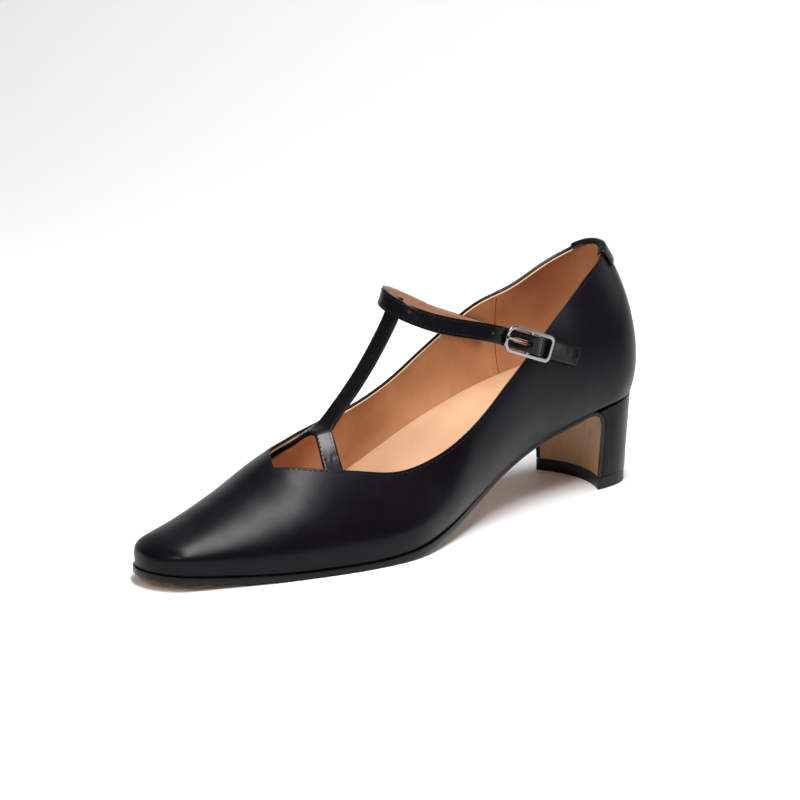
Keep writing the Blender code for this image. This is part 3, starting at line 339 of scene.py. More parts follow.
def even(start, end, count):
    return [start + (end - start) * i / count for i in range(count)]


BACK_END = SEAT_ROUND / LAST_LENGTH
TOE_START = 1 - TOE_ROUND / LAST_LENGTH
print("last:", len(SECTIONS), "sections, ball", BALL_WIDTH)

# %% Surfaces that the pieces share
def feather_y(along, side):
    axis = column("axis", along) * BALL_WIDTH
    edge = column("outer" if side > 0 else "inner", along) * BALL_WIDTH
    return (axis + (side * edge - axis) * toe_share(along)) * back_share(along)


def seat_height(x, y):
    """Height of the surface that the feather lines span, on which insole, sole and heel meet."""
    along = min(max((x + SEAT_BACK) / LAST_LENGTH, 0.0), 1.0)
    outer = column("outer", along) * BALL_WIDTH
    inner = column("inner", along) * BALL_WIDTH
    share = min(max((y + inner) / (outer + inner), 0.0), 1.0)
    return feather_height(along, -1) * (1 - share) + feather_height(along, 1) * share


def feather_edges(alongs, inset):
    """Points of the outer and inner feather line, moved in by inset(along, side) square to the line."""
    edges = {}
    for side in (1, -1):
        line = [Vector((a * LAST_LENGTH - SEAT_BACK, feather_y(a, side))) for a in alongs]
        other = [Vector((p.x, feather_y(a, -side))) for a, p in zip(alongs, line)]
        before = [other[1] if alongs[0] == 0 else line[0]] + line[:-1]
        after = line[1:] + [other[-2] if alongs[-1] == 1 else line[-1]]
        edges[side] = []
        for a, low, here, high in zip(alongs, before, line, after):
            run = (high - low).normalized()
            inward = Vector((run.y, -run.x)) * side
            edges[side].append(here + inward * inset(a, side))
    return edges


def wall_inset(along, side, rise):
    """How far in from the feather line the clear space inside the upper starts, at a height over it."""
    points = section_points(along, side)
    height = points[0][1] + rise
    low, high = [(a, b) for a, b in zip(points, points[1:]) if b[1] > height or b is points[-1]][0]
    slope = (high[0] - low[0]) / max(high[1] - low[1], 1e-9)
    beyond = side * (low[0] + slope * (height - low[1]) - points[0][0])
    square = (back_share(along) * toe_share(along))**2
    return WALL * sqrt(1 + slope * slope) + 1.5 * GAP - beyond * square


def across(edges, i, share):
    """A point between the outer and inner edge points of station i."""
    return edges[1][i].lerp(edges[-1][i], share)


def wall_y(x, height, side):
    """Sideways place of the upper's outside at a place along the shoe and a height."""
    along = (x + SEAT_BACK) / LAST_LENGTH
    for _ in range(4):
        along += (x - last_x(along, height)) / LAST_LENGTH
        along = max(along, 0.0)
    points = section_points(along, side)
    rising = [(a, b) for a, b in zip(points, points[1:]) if a[1] <= height <= b[1]]
    low, high = rising[0]
    part = (height - low[1]) / max(high[1] - low[1], 1e-9)
    return (low[0] + (high[0] - low[0]) * part) * back_share(along)


PAD_FRONT, PAD_RUN = 0.58, 0.25         # shares of LAST_LENGTH: front end of the heel's pad, and its slope
CURL_FRONT, CURL_RUN = 0.66, 0.28       # the same for the curl of the insole's inner edge


def insole_rise(along):
    """Thickness of the insole: the heel's pad runs out under the ball."""
    pad = min(max((PAD_FRONT - along) / PAD_RUN, 0.0), 1.0)
    return INSOLE_THICKNESS + (INSOLE_HEEL - INSOLE_THICKNESS) * pad * pad * (3 - 2 * pad)


def insole_curl(along, side):
    """How far the edge on a side stands over the rest: nothing on the outer side."""
    if side > 0:
        return 0.0
    share = min(max((CURL_FRONT - along) / CURL_RUN, 0.0), 1.0) * back_share(along)**2
    return INSOLE_CURL * share * share * (3 - 2 * share)


def breast_x(share):
    """Front of the breast at a share across it, from -1 to 1."""
    return 0.5 * TREAD_LENGTH - BREAST_HOLLOW * (1 - share * share)


def waist_underside(x, y):
    return seat_height(x, y) - GAP - FLAP_THICKNESS


def breast_path(share, half_width, steps=9):
    """Points x, z and normals of the flap's face, from the waist round the bend and down to the top lift."""
    x = breast_x(share)
    y = share * half_width
    corner = Vector((x, waist_underside(x, y)))
    start = Vector((x + BREAST_FLARE, waist_underside(x + BREAST_FLARE, y)))
    end = Vector((x, corner.y - BREAST_FLARE))
    path = []
    for i in range(steps + 1):
        t = i / steps
        spot = start * (1 - t)**2 + corner * 2 * t * (1 - t) + end * t * t
        run = ((corner - start) * (1 - t) + (end - corner) * t).normalized()
        path.append((spot, Vector((run.y, -run.x))))
    bottom = LIFT_THICKNESS + GAP
    for i in (1, 2, 3):
        spot = Vector((x, end.y + (bottom - end.y) * i / 3))
        path.append((spot, Vector((-1.0, 0.0))))
    return path


TREAD_POWER = 2.7           # squareness of the tread's back


def tread_point(part, side, front):
    """Point of the tread's outline: part 0 at a breast corner, 1 at the back."""
    angle = 0.5 * pi * part
    x = front - (front + 0.5 * TREAD_LENGTH) * sin(angle)**(2 / TREAD_POWER)
    return Vector((x, side * 0.5 * TREAD_WIDTH * max(cos(angle), 0.0)**(2 / TREAD_POWER)))


BEND_PEAK = 3.08            # makes 1 of the largest value of the curve that the dip and the rise follow
BUCKLE_FRONT = STRAP_SIDE + 0.55 * BUCKLE_LENGTH   # where the strap is held straight by the buckle
BUCKLE_BACK = STRAP_SIDE - 0.55 * BUCKLE_LENGTH
HELD_OFF_LENGTH = 0.012     # length behind the buckle over which the strap comes down to the quarter


def strap_height(x, side):
    """Height of the ankle strap's middle line, falling from the instep to the quarters."""
    low = STRAP_OUTER_HEIGHT if side > 0 else STRAP_INNER_HEIGHT
    share = (x - STRAP_SIDE) / (STRAP_FRONT - STRAP_SIDE)
    free_start = BUCKLE_FRONT if side > 0 else STRAP_SIDE
    free = min(max((x - free_start) / (STRAP_FRONT - free_start), 0.0), 1.0)
    bend = (-STRAP_DIP if side > 0 else STRAP_RISE) * BEND_PEAK * free**1.5 * sqrt(1 - free)
    return low + (STRAP_FRONT_HEIGHT - low) * share + bend


def strap_rest_y(x):
    """Sideways place of the strap's middle, outer side: open, straight through the buckle, on the quarter."""
    front, back = BUCKLE_FRONT, BUCKLE_BACK
    if x <= back:
        held_off = BUCKLE_LIFT * max(1 - (back - x) / HELD_OFF_LENGTH, 0.0)
        return (wall_y(x, strap_height(x, 1), 1) + held_off
                + 2 * GAP + TAB_THICKNESS + 0.5 * STRAP_THICKNESS)
    if x < front:
        share = (x - back) / (front - back)
        return strap_rest_y(back) + (strap_rest_y(front) - strap_rest_y(back)) * share
    ahead = min((x - STRAP_SIDE) / (STRAP_FRONT - STRAP_SIDE), 1.0)
    return STRAP_OUTER_WIDTH * sqrt(1 - ahead * ahead)


@lru_cache(maxsize=None)
def buckle_place():
    """Middle of the buckle, and its directions towards the instep, up the strap's width and outwards."""
    ends = []
    for reach in (-0.5 * BUCKLE_LENGTH, 0.5 * BUCKLE_LENGTH):
        height = strap_height(STRAP_SIDE + reach, 1)
        ends.append(Vector((STRAP_SIDE + reach, strap_rest_y(STRAP_SIDE + reach), height)))
    ahead = (ends[1] - ends[0]).normalized()
    up = ahead.cross(Vector((0.0, 1.0, 0.0))).normalized()
    out = up.cross(ahead)
    lift = 0.5 * STRAP_THICKNESS + 1.5 * GAP + 0.5 * BUCKLE_METAL
    return 0.5 * (ends[0] + ends[1]) + out * lift, ahead, up, out


def buckle_spot(a, w, n):
    """A point from the buckle's middle: along the strap, across it and outwards."""
    origin, ahead, up, out = buckle_place()
    return origin + ahead * a + up * w + out * n


BAR_REACH = 0.5 * BUCKLE_METAL * sqrt(2)  # middle of the bar out to its edges


def strap_edge_y(x):
    """The same with the rise over the middle bar and what is wrapped round it."""
    middle = buckle_spot(0.0, 0.0, 0.0)
    over = middle.y + BAR_REACH + GAP + TAB_THICKNESS + GAP + 0.5 * STRAP_THICKNESS
    bump = over - strap_rest_y(middle.x)
    return strap_rest_y(x) + bump * exp(-(abs(x - middle.x) / BUMP_LENGTH)**3)


def strap_half(turn):
    """Half the strap's width, upwards, at a turn round the foot: 0 in front, a quarter turn at a side."""
    lean = radians(STRAP_LEAN)
    tilt = radians(STRAP_TILT)
    return 0.5 * STRAP_WIDTH * Vector((-sin(lean), -sin(tilt) * sin(turn), cos(lean))).normalized()


def strap_edges():
    """Lower and upper edge points of the ankle strap, from its sewn end over the instep to its tip."""
    half = strap_half(0.0)
    inside = WALL + 1.5 * GAP + 0.5 * STRAP_THICKNESS
    reach = STRAP_FRONT - STRAP_SIDE
    pairs = []
    for i in range(5):
        x = STRAP_EDGE - STRAP_ROOT * (1 - i / 4)
        pair = []
        for sign in (-1, 1):
            spot = Vector((x, 0.0, strap_height(x, -1))) + half * sign
            spot.y = wall_y(spot.x, spot.z, -1) + inside
            pair.append(spot)
        pairs.append(pair)
    turn = acos((BUCKLE_FRONT - STRAP_SIDE) / reach)
    steps = 22
    for i in range(1, steps):
        angle = -0.5 * pi + (turn + 0.5 * pi) * i / steps
        side = -1 if angle < 0 else 1
        width = STRAP_INNER_WIDTH if side < 0 else STRAP_OUTER_WIDTH
        x = STRAP_SIDE + reach * cos(angle)
        spot = Vector((x, width * sin(angle), strap_height(x, side)))
        start = BUCKLE_FRONT if side > 0 else STRAP_SIDE
        tilted = strap_half(angle * min(max((x - start) / TILT_LENGTH, 0.0), 1.0))
        pairs.append([spot - tilted, spot + tilted])
    tip = STRAP_SIDE - STRAP_TAIL
    for x in even(BUCKLE_FRONT, BUCKLE_BACK, 20) + even(BUCKLE_BACK, tip, 5) + [tip]:
        centre = Vector((x, strap_edge_y(x), strap_height(x, 1)))
        on_wall = min(max((BUCKLE_BACK - x) / (0.2 * BUCKLE_LENGTH), 0.0), 1.0)
        pair = []
        for sign in (-1, 1):
            spot = centre + half * sign
            if on_wall:
                spot.y += on_wall * (wall_y(spot.x, spot.z, 1) - wall_y(x, centre.z, 1))
            if x == tip:
                spot.x -= sign * STRAP_SLANT
            pair.append(spot)
        pairs.append(pair)
    return pairs


def crown_z(x, y):
    """Height of the last's surface over a place in plan, where it closes over the instep."""
    side = 1 if y >= 0 else -1
    points = section_points((x + SEAT_BACK) / LAST_LENGTH, side)
    top = points[len(points) // 4:]
    for low, high in zip(top, top[1:]):
        if side * low[0] >= side * y >= side * high[0]:
            part = (low[0] - y) / (low[0] - high[0]) if low[0] != high[0] else 0.0
            return low[1] + (high[1] - low[1]) * part
    return points[-1][1]


def crown_point(x, y, depth):
    """A point at a depth under the last's surface, square to it."""
    step = 0.0005
    slope_x = (crown_z(x + step, y) - crown_z(x - step, y)) / (2 * step)
    slope_y = (crown_z(x, y + step) - crown_z(x, y - step)) / (2 * step)
    normal = Vector((-slope_x, -slope_y, 1.0)).normalized()
    return Vector((x, y, crown_z(x, y))) - normal * depth

# %% [markdown]
# ## Making meshes
# Nearly every piece is a grid of points on a named surface. A grid becomes a sheet, a sheet gets its
# thickness from Solidify, and Bevel rounds the cut edges as a knife and a hot iron would. A block is a closed
# grid.

# %% Mesh helpers
WELD = 0.000004             # points nearer than this become one
SLIVER = 0.000002           # edges shorter than this go


def sheet_object(name, points, faces, zones=None, turned_out=True):
    """A mesh from points and faces with its doubles merged. zones gives each face its material's number."""
    mesh = bpy.data.meshes.new(name)
    mesh.from_pydata([tuple(p) for p in points], [], faces)
    if zones:
        mesh.polygons.foreach_set("material_index", zones)
    work = bmesh.new()
    work.from_mesh(mesh)
    bmesh.ops.remove_doubles(work, verts=work.verts, dist=WELD)
    bmesh.ops.dissolve_degenerate(work, edges=work.edges, dist=SLIVER)
    if not turned_out:
        bmesh.ops.recalc_face_normals(work, faces=work.faces)
    work.to_mesh(mesh)
    work.free()
    thing = bpy.data.objects.new(name, mesh)
    bpy.context.scene.collection.objects.link(thing)
    return thing


def grid_faces(rows, columns, start=0, flip=False):
    """Quads between neighbouring rows of points."""
    faces = []
    for i in range(rows - 1):
        for k in range(columns - 1):
            a = start + i * columns + k
            quad = (a, a + 1, a + columns + 1, a + columns)
            faces.append(quad[::-1] if flip else quad)
    return faces


def block(name, point, rows, columns, levels, zone=None):
    """A closed solid from point(i, j, k). zone(i, j, k) gives the material's number of a face."""
    points, faces, zones = [], [], []

    def side(count_a, count_b, place):
        start = len(points)
        for a in range(count_a + 1):
            for b in range(count_b + 1):
                points.append(point(*place(a, b)))
        faces.extend(grid_faces(count_a + 1, count_b + 1, start))
        for a in range(count_a):
            for b in range(count_b):
                middle = [(p + q) / 2 for p, q in zip(place(a, b), place(a + 1, b + 1))]
                zones.append(zone(*middle) if zone else 0)

    for k in (0, levels):
        side(rows, columns, lambda i, j, k=k: (i, j, k))
    for j in (0, columns):
        side(rows, levels, lambda i, k, j=j: (i, j, k))
    for i in (0, rows):
        side(columns, levels, lambda j, k, i=i: (i, j, k))
    return sheet_object(name, points, faces, zones, turned_out=False)


def thicken(thing, thickness, offset=-1.0, inner=0, rim=0):
    """Solidify: offset -1 grows inwards, 0 both ways. inner and rim choose other materials of the piece."""
    modifier = thing.modifiers.new("thickness", "SOLIDIFY")
    modifier.thickness = thickness
    modifier.offset = offset
    modifier.use_even_offset = True
    modifier.material_offset = inner
    modifier.material_offset_rim = rim


# How far the cut edges are rounded.
RIM_ROUND = 0.00045
SOCK_ROUND = 0.0005
CUT_ROUND = 0.0004
HEEL_ROUND = 0.0006
BAR_ROUND = 0.00035
TAB_ROUND = 0.00025


def soften(thing, width, segments=2, angle=50.0):
    """Bevel: rounds the edges sharper than an angle."""
    modifier = thing.modifiers.new("edges", "BEVEL")
    modifier.width = width
    modifier.segments = segments
    modifier.limit_method = "ANGLE"
    modifier.angle_limit = radians(angle)
    modifier.harden_normals = False


def apply_modifiers(thing):
    """The modifiers' result as a plain mesh."""
    bpy.context.view_layer.update()
    evaluated = thing.evaluated_get(bpy.context.evaluated_depsgraph_get())
    mesh = bpy.data.meshes.new_from_object(evaluated)
    thing.modifiers.clear()
    thing.data = mesh


def finish_piece(thing, materials, nodes=(), smooth=50.0):
    """Materials, smooth shading, the body that the piece rides on and the CAD nodes that it stands for."""
    for material in materials:
        thing.data.materials.append(material)
    apply_modifiers(thing)
    thing.data.shade_smooth()
    thing.data.set_sharp_from_angle(angle=radians(smooth))
    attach(thing, "root")
    if nodes:
        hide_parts(*nodes)
    triangles = sum(len(p.vertices) - 2 for p in thing.data.polygons)
    print(thing.name, triangles, "triangles")
    return thing

# %% [markdown]
# ## Materials
# Black calf leather is dyed through, polished and sealed with a thin clear finish: a nearly black base with a
# soft broad shine, and a very fine grain that only breaks up the highlights. The straps are of a glossier
# leather with small crinkles. Lining and sock are matt goatskin in tan and peach.

# %% Material helpers
def linear(hex_colour):
    """An sRGB hex colour as linear red, green, blue and alpha."""
    shares = [int(hex_colour[i:i + 2], 16) / 255 for i in (1, 3, 5)]
    return [s / 12.92 if s <= 0.04045 else ((s + 0.055) / 1.055) ** 2.4 for s in shares] + [1.0]


def add_node(tree, kind, settings=None, inputs=None, feeds=None, stops=()):
    """A node with its settings, its inputs as values or as sockets to link from, the sockets that its outputs
    feed, and the stops of a colour ramp as pairs of place and colour."""
    node = tree.nodes.new(kind)
    for key, value in (settings or {}).items():
        setattr(node, key, value)
    for key, value in (inputs or {}).items():
        if isinstance(value, bpy.types.NodeSocket):
            tree.links.new(value, node.inputs[key])
        else:
            node.inputs[key].default_value = value
    for key, socket in (feeds or {}).items():
        tree.links.new(node.outputs[key], socket)
    for number, (place, colour) in enumerate(stops):
        node.color_ramp.elements[number].position = place
        node.color_ramp.elements[number].color = colour
    return node


def new_material(name, **values):
    """A material with one Principled shader, whose sockets are set by name."""
    material = bpy.data.materials.new(name)
    material.use_nodes = True
    tree = material.node_tree
    shader = tree.nodes["Principled BSDF"]
    for key, value in values.items():
        shader.inputs[key.replace("_", " ")].default_value = value
    return material, tree, shader


def object_place(tree, stretch=(1.0, 1.0, 1.0)):
    """Object coordinates, stretched by a Mapping node."""
    place = add_node(tree, "ShaderNodeTexCoord").outputs["Object"]
    return add_node(tree, "ShaderNodeMapping", inputs={"Vector": place, "Scale": stretch}).outputs["Vector"]


def per_metre(size):
    """Texture scale for a pattern of a real size."""
    return 1.0 / size

# %% Calf leather
def calf_leather(name, base, roughness):
    """Smooth full grain leather: pores drawn 0.7 mm apart, and broad soft unevenness from the lasting."""
    material, tree, shader = new_material(
        name, Base_Color=linear(base), Roughness=roughness, Specular_IOR_Level=0.11, Coat_Weight=0.03,
        Coat_Roughness=0.22, Coat_IOR=1.45)
    place = object_place(tree)
    pores = add_node(tree, "ShaderNodeTexVoronoi", {"feature": "F1"},
                     {"Vector": place, "Scale": per_metre(0.0007)}).outputs["Distance"]
    unevenness = add_node(tree, "ShaderNodeTexNoise", {},
                          {"Vector": place, "Scale": per_metre(0.022), "Detail": 2.0}).outputs["Fac"]
    scuffs = add_node(tree, "ShaderNodeTexNoise", {},
                      {"Vector": place, "Scale": per_metre(0.006), "Detail": 5.0}).outputs["Fac"]
    add_node(tree, "ShaderNodeMapRange", {},
             {"Value": scuffs, "From Min": 0.3, "From Max": 0.7, "To Min": roughness - 0.03,
              "To Max": roughness + 0.05},
             {"Result": shader.inputs["Roughness"]})
    fine = add_node(tree, "ShaderNodeBump", {}, {"Height": pores, "Distance": 0.00004, "Strength": 0.35})
    add_node(tree, "ShaderNodeBump", {},
             {"Height": unevenness, "Distance": 0.0006, "Strength": 0.5, "Normal": fine.outputs["Normal"]},
             {"Normal": shader.inputs["Normal"]})
    return material


UPPER_LEATHER = calf_leather("black calf leather", "#08060b", 0.33)

# %% Strap leather
def crinkled_leather(name, base):
    """Glazed leather whose thin top coat has wrinkled: creases 1 to 5 mm apart, and shine between them."""
    material, tree, shader = new_material(name, Base_Color=linear(base), Roughness=0.30, Coat_Weight=0.20,
                                          Coat_Roughness=0.14, Coat_IOR=1.5, Specular_IOR_Level=0.1)
    place = object_place(tree)
    bend = add_node(tree, "ShaderNodeTexNoise", {},
                    {"Vector": place, "Scale": per_metre(0.004), "Detail": 2.0}).outputs["Color"]
    shifted = add_node(tree, "ShaderNodeVectorMath", {"operation": "MULTIPLY_ADD"},
                       {0: bend, 1: (0.003, 0.003, 0.003), 2: place}).outputs["Vector"]
    creases = add_node(tree, "ShaderNodeTexNoise", {"noise_type": "RIDGED_MULTIFRACTAL"},
                       {"Vector": shifted, "Scale": per_metre(0.0045), "Detail": 3.0}).outputs["Fac"]
    add_node(tree, "ShaderNodeBump", {}, {"Height": creases, "Distance": 0.0005, "Strength": 0.9},
             {"Normal": shader.inputs["Normal"]})
    return material


STRAP_LEATHER = crinkled_leather("black glazed strap leather", "#08080a")

# %% Lining and sock leather
def goatskin(name, light, dark, grain, patch):
    """Matt lining leather: colour drifts over some centimetres, and the grain is a fine net."""
    material, tree, shader = new_material(name, Roughness=0.62, Specular_IOR_Level=0.35, Sheen_Weight=0.08,
                                          Sheen_Roughness=0.5)
    place = object_place(tree)
    drift = add_node(tree, "ShaderNodeTexNoise", {},
                     {"Vector": place, "Scale": per_metre(patch), "Detail": 4.0, "Roughness": 0.6})
    add_node(tree, "ShaderNodeValToRGB", {}, {"Fac": drift.outputs["Fac"]},
             {"Color": shader.inputs["Base Color"]}, [(0.32, linear(dark)), (0.68, linear(light))])
    net = add_node(tree, "ShaderNodeTexVoronoi", {"feature": "DISTANCE_TO_EDGE"},
                   {"Vector": place, "Scale": per_metre(grain)}).outputs["Distance"]
    add_node(tree, "ShaderNodeBump", {}, {"Height": net, "Distance": 0.00012, "Strength": 0.4},
             {"Normal": shader.inputs["Normal"]})
    return material


LINING_LEATHER = goatskin("tan lining leather", "#c48d62", "#b07950", 0.0009, 0.018)
SOCK_LEATHER = goatskin("peach sock leather", "#c39a76", "#ba906e", 0.0011, 0.030)
STRAP_LINING = goatskin("pinkish strap lining", "#c79a80", "#b98a70", 0.0009, 0.012)
CUT_EDGE = goatskin("cut edge of the lining", "#c9a57c", "#b8946c", 0.0008, 0.006)

# %% Sole, lift, metal and thread
def leather_board(name, light, dark):
    """Sole leather: ironed smooth, with a faint lengthwise fibre."""
    material, tree, shader = new_material(name, Roughness=0.48, Specular_IOR_Level=0.4)
    place = object_place(tree, (1.0, 3.0, 1.0))
    fibre = add_node(tree, "ShaderNodeTexNoise", {},
                     {"Vector": place, "Scale": per_metre(0.008), "Detail": 6.0, "Roughness": 0.65})
    add_node(tree, "ShaderNodeValToRGB", {}, {"Fac": fibre.outputs["Fac"]},
             {"Color": shader.inputs["Base Color"]}, [(0.3, linear(dark)), (0.7, linear(light))])
    add_node(tree, "ShaderNodeBump", {},
             {"Height": fibre.outputs["Fac"], "Distance": 0.0002, "Strength": 0.3},
             {"Normal": shader.inputs["Normal"]})
    return material


def plain_finish(name, base, roughness, grain, depth, **values):
    """One colour with a fine even relief."""
    material, tree, shader = new_material(name, Base_Color=linear(base), Roughness=roughness, **values)
    relief = add_node(tree, "ShaderNodeTexNoise", {},
                      {"Vector": object_place(tree), "Scale": per_metre(grain), "Detail": 3.0})
    add_node(tree, "ShaderNodeBump", {},
             {"Height": relief.outputs["Fac"], "Distance": depth, "Strength": 0.5},
             {"Normal": shader.inputs["Normal"]})
    return material


SOLE_LEATHER = leather_board("natural sole leather", "#a8845f", "#997452")
EDGE_INK = plain_finish("black edge ink", "#0b0a0b", 0.36, 0.0015, 0.00010, Specular_IOR_Level=0.2)
LIFT_RUBBER = plain_finish("black lift rubber", "#0d0d0e", 0.45, 0.0008, 0.00008, Specular_IOR_Level=0.25)
NICKEL = plain_finish("polished nickel plate", "#8e8d8f", 0.13, 0.0030, 0.00002, Metallic=1.0)
THREAD = plain_finish("black bonded thread", "#0d0b10", 0.5, 0.0003, 0.00005, Specular_IOR_Level=0.2)
# Dark tan for the strip along the lining seam: painted shadow of the small step where the two linings meet,
# not a colour of the leather.
SEAM_SHADOW_PAINT = plain_finish("painted shadow along the lining seam", "#6f4426", 0.7, 0.0006, 0.00004)
TAN_THREAD = plain_finish("tan thread", "#b9834f", 0.6, 0.0003, 0.00005)
print(len(bpy.data.materials), "materials")

# %% [markdown]
# ## Upper
# The real upper is one piece of calf leather, wetted and pulled over the last, with a thin lining behind it
# and the edge folded in and rolled. A loft through the sections gives the pulled shape. Leather and lining
# are two shells, so that the lining's cut edge shows as a pale line under the black rim.

# %% Rows of the upper
LEATHER_SKIN = 0.0011       # leather with its folded edge
LINING_DROP = 0.0007        # the lining's edge under the leather's
LINING_GAP = 0.00004
SKIN_ROWS = 34
THROAT_ROWS = 14


def throat_bend(side):
    """Where the topline starts to run more across the shoe than along it."""
    along, step = THROAT_TURN, 0.001
    while along < THROAT - THROAT_ROUND:
        run = (last_point(along + step, side, topline_share(along + step, side))
               - last_point(along, side, topline_share(along, side)))
        if sqrt(run.y * run.y + run.z * run.z) > run.x:
            break
        along += step
    return along


def topline_along(share, side, start):
    """Where the topline reaches a share, in front of a place."""
    low, high = start, THROAT
    for _ in range(40):
        middle = 0.5 * (low + high)
        if topline_share(middle, side) < share:
            low = middle
        else:
            high = middle
    return high


def skin_grids(side):
    """Half the upper as two grids: columns up to the topline behind the throat's bend, and rows that start on
    the throat's edge in front of it. At the toe both halves have the same shares."""
    bend = throat_bend(side)
    low, high = topline_share(bend, side), topline_share(THROAT, side)
    behind = ease_in(0.0, BACK_END, 18) + even(BACK_END, bend, 62) + [bend]
    first = [[last_point(along, side, topline_share(along, side) * k / SKIN_ROWS)
              for k in range(SKIN_ROWS + 1)] for along in behind]
    shares = ([low * k / SKIN_ROWS for k in range(SKIN_ROWS)]
              + [low + (high - low) * k / THROAT_ROWS for k in range(THROAT_ROWS + 1)])
    starts = [bend if share <= low else topline_along(share, side, bend) for share in shares]
    fan_steps = 26
    second = [[last_point(start + (FAN_END - start) * i / fan_steps, side, share)
               for start, share in zip(starts, shares)] for i in range(fan_steps)]
    last = len(shares) - 1
    for along in even(FAN_END, TOE_START, 16) + ease_out(TOE_START, 1.0, 12) + [1.0]:
        alike = ((along - FAN_END) / (1 - FAN_END))**2
        second.append([last_point(along, side, share + (k / last - share) * alike)
                       for k, share in enumerate(shares)])
    return first, second


def edge_line(side, drop):
    """Points at a distance under the topline, from the back seam to the throat's tip."""
    first, second = GRIDS[side]
    line = [row[-1] + (row[-2] - row[-1]).normalized() * drop for row in first]
    for start, after in list(zip(second[0], second[1]))[SKIN_ROWS + 1:]:
        line.append(start + (after - start).normalized() * drop)
    return line


def skin_sheet(name, drop):
    """The two halves as one open sheet, its edge lowered by drop."""
    points, faces = [], []
    for side in (1, -1):
        first, second = [[list(row) for row in grid] for grid in GRIDS[side]]
        if drop:
            line = edge_line(side, drop)
            for row, spot in zip(first, line):
                row[-1] = spot
            second[0][SKIN_ROWS:] = line[len(first) - 1:]
        for grid in (first, second):
            faces += grid_faces(len(grid), len(grid[0]), len(points), flip=side < 0)
            points += [point for row in grid for point in row]
    return sheet_object(name, points, faces)


GRIDS = {side: skin_grids(side) for side in (1, -1)}

# %% Upper leather
upper = skin_sheet("upper_leather", 0.0)
thicken(upper, LEATHER_SKIN)
soften(upper, RIM_ROUND, 3, 60.0)
finish_piece(upper, [UPPER_LEATHER], ["upper"])

# %% Lining
def sink(thing, depth):
    """Moves a sheet in along its normals."""
    normals = [v.normal.copy() for v in thing.data.vertices]
    for vertex, normal in zip(thing.data.vertices, normals):
        vertex.co -= normal * depth


lining = skin_sheet("quarter_lining", LINING_DROP)
sink(lining, LEATHER_SKIN + LINING_GAP)
thicken(lining, WALL - LEATHER_SKIN - LINING_GAP, rim=1)
finish_piece(lining, [LINING_LEATHER, CUT_EDGE], ["upper"])

# %% [markdown]
# ## Insole
# The sock is a thin leather glued over the insole board and a heel pad, and its inner edge climbs the arch.
# It is a closed block on the feather surface, with its upper edges rounded.

# %% Insole
def make_insole():
    alongs = (ease_in(0.0, BACK_END, 14) + even(BACK_END, TOE_START, 60)
              + ease_out(TOE_START, 1.0, 10) + [1.0])
    low = feather_edges(alongs, lambda a, side: wall_inset(a, side, 0.0))
    high = feather_edges(alongs, lambda a, side: wall_inset(a, side, insole_rise(a) + insole_curl(a, side)))
    columns = 24

    def point(i, j, k):
        flat = across(high if k else low, i, j / columns)
        curl = insole_curl(alongs[i], -1) * max(2 * j / columns - 1, 0.0)**2
        return (flat.x, flat.y, seat_height(flat.x, flat.y) + k * (insole_rise(alongs[i]) + curl))

    return block("insole_sock", point, len(alongs) - 1, columns, 1)


insole = make_insole()
soften(insole, SOCK_ROUND, 2, 55.0)
finish_piece(insole, [SOCK_LEATHER], ["insole"])

# %% [markdown]
# ## Sole
# A thin leather sole runs from the toe under the waist and turns down the breast of the heel, where it stays
# its natural colour. Its edges are trimmed, inked black and ironed. The block has one material for the face
# and another for the edge and the border beside it.

# %% Outsole
SOLE_BORDER = 0.0016        # inked border on the breast
BEND_START = (0.5 * TREAD_LENGTH + BREAST_FLARE + SEAT_BACK) / LAST_LENGTH   # where the flap leaves the waist
TOP_HALF = 0.5 * (feather_y(BEND_START, 1) - feather_y(BEND_START, -1)) - 0.5 * SOLE_EDGE   # its half width
BEND_STEPS = 20


def border_shares(half_width, columns, border):
    """Shares across from 1 to -1 with a narrow first and last column."""
    edge = 1 - border / half_width
    return [1.0] + [edge - 2 * edge * i / (columns - 2) for i in range(columns - 1)] + [-1.0]


WAIST_RUN = 0.09                        # share of LAST_LENGTH from the flap's bend to the waist's thin end
SOLE_RUN = 0.22                         # share over which the sole then gets its full thickness
EDGE_FRONT, EDGE_RUN = 0.40, 0.15       # shares where the edge starts to stand out, and over which it does


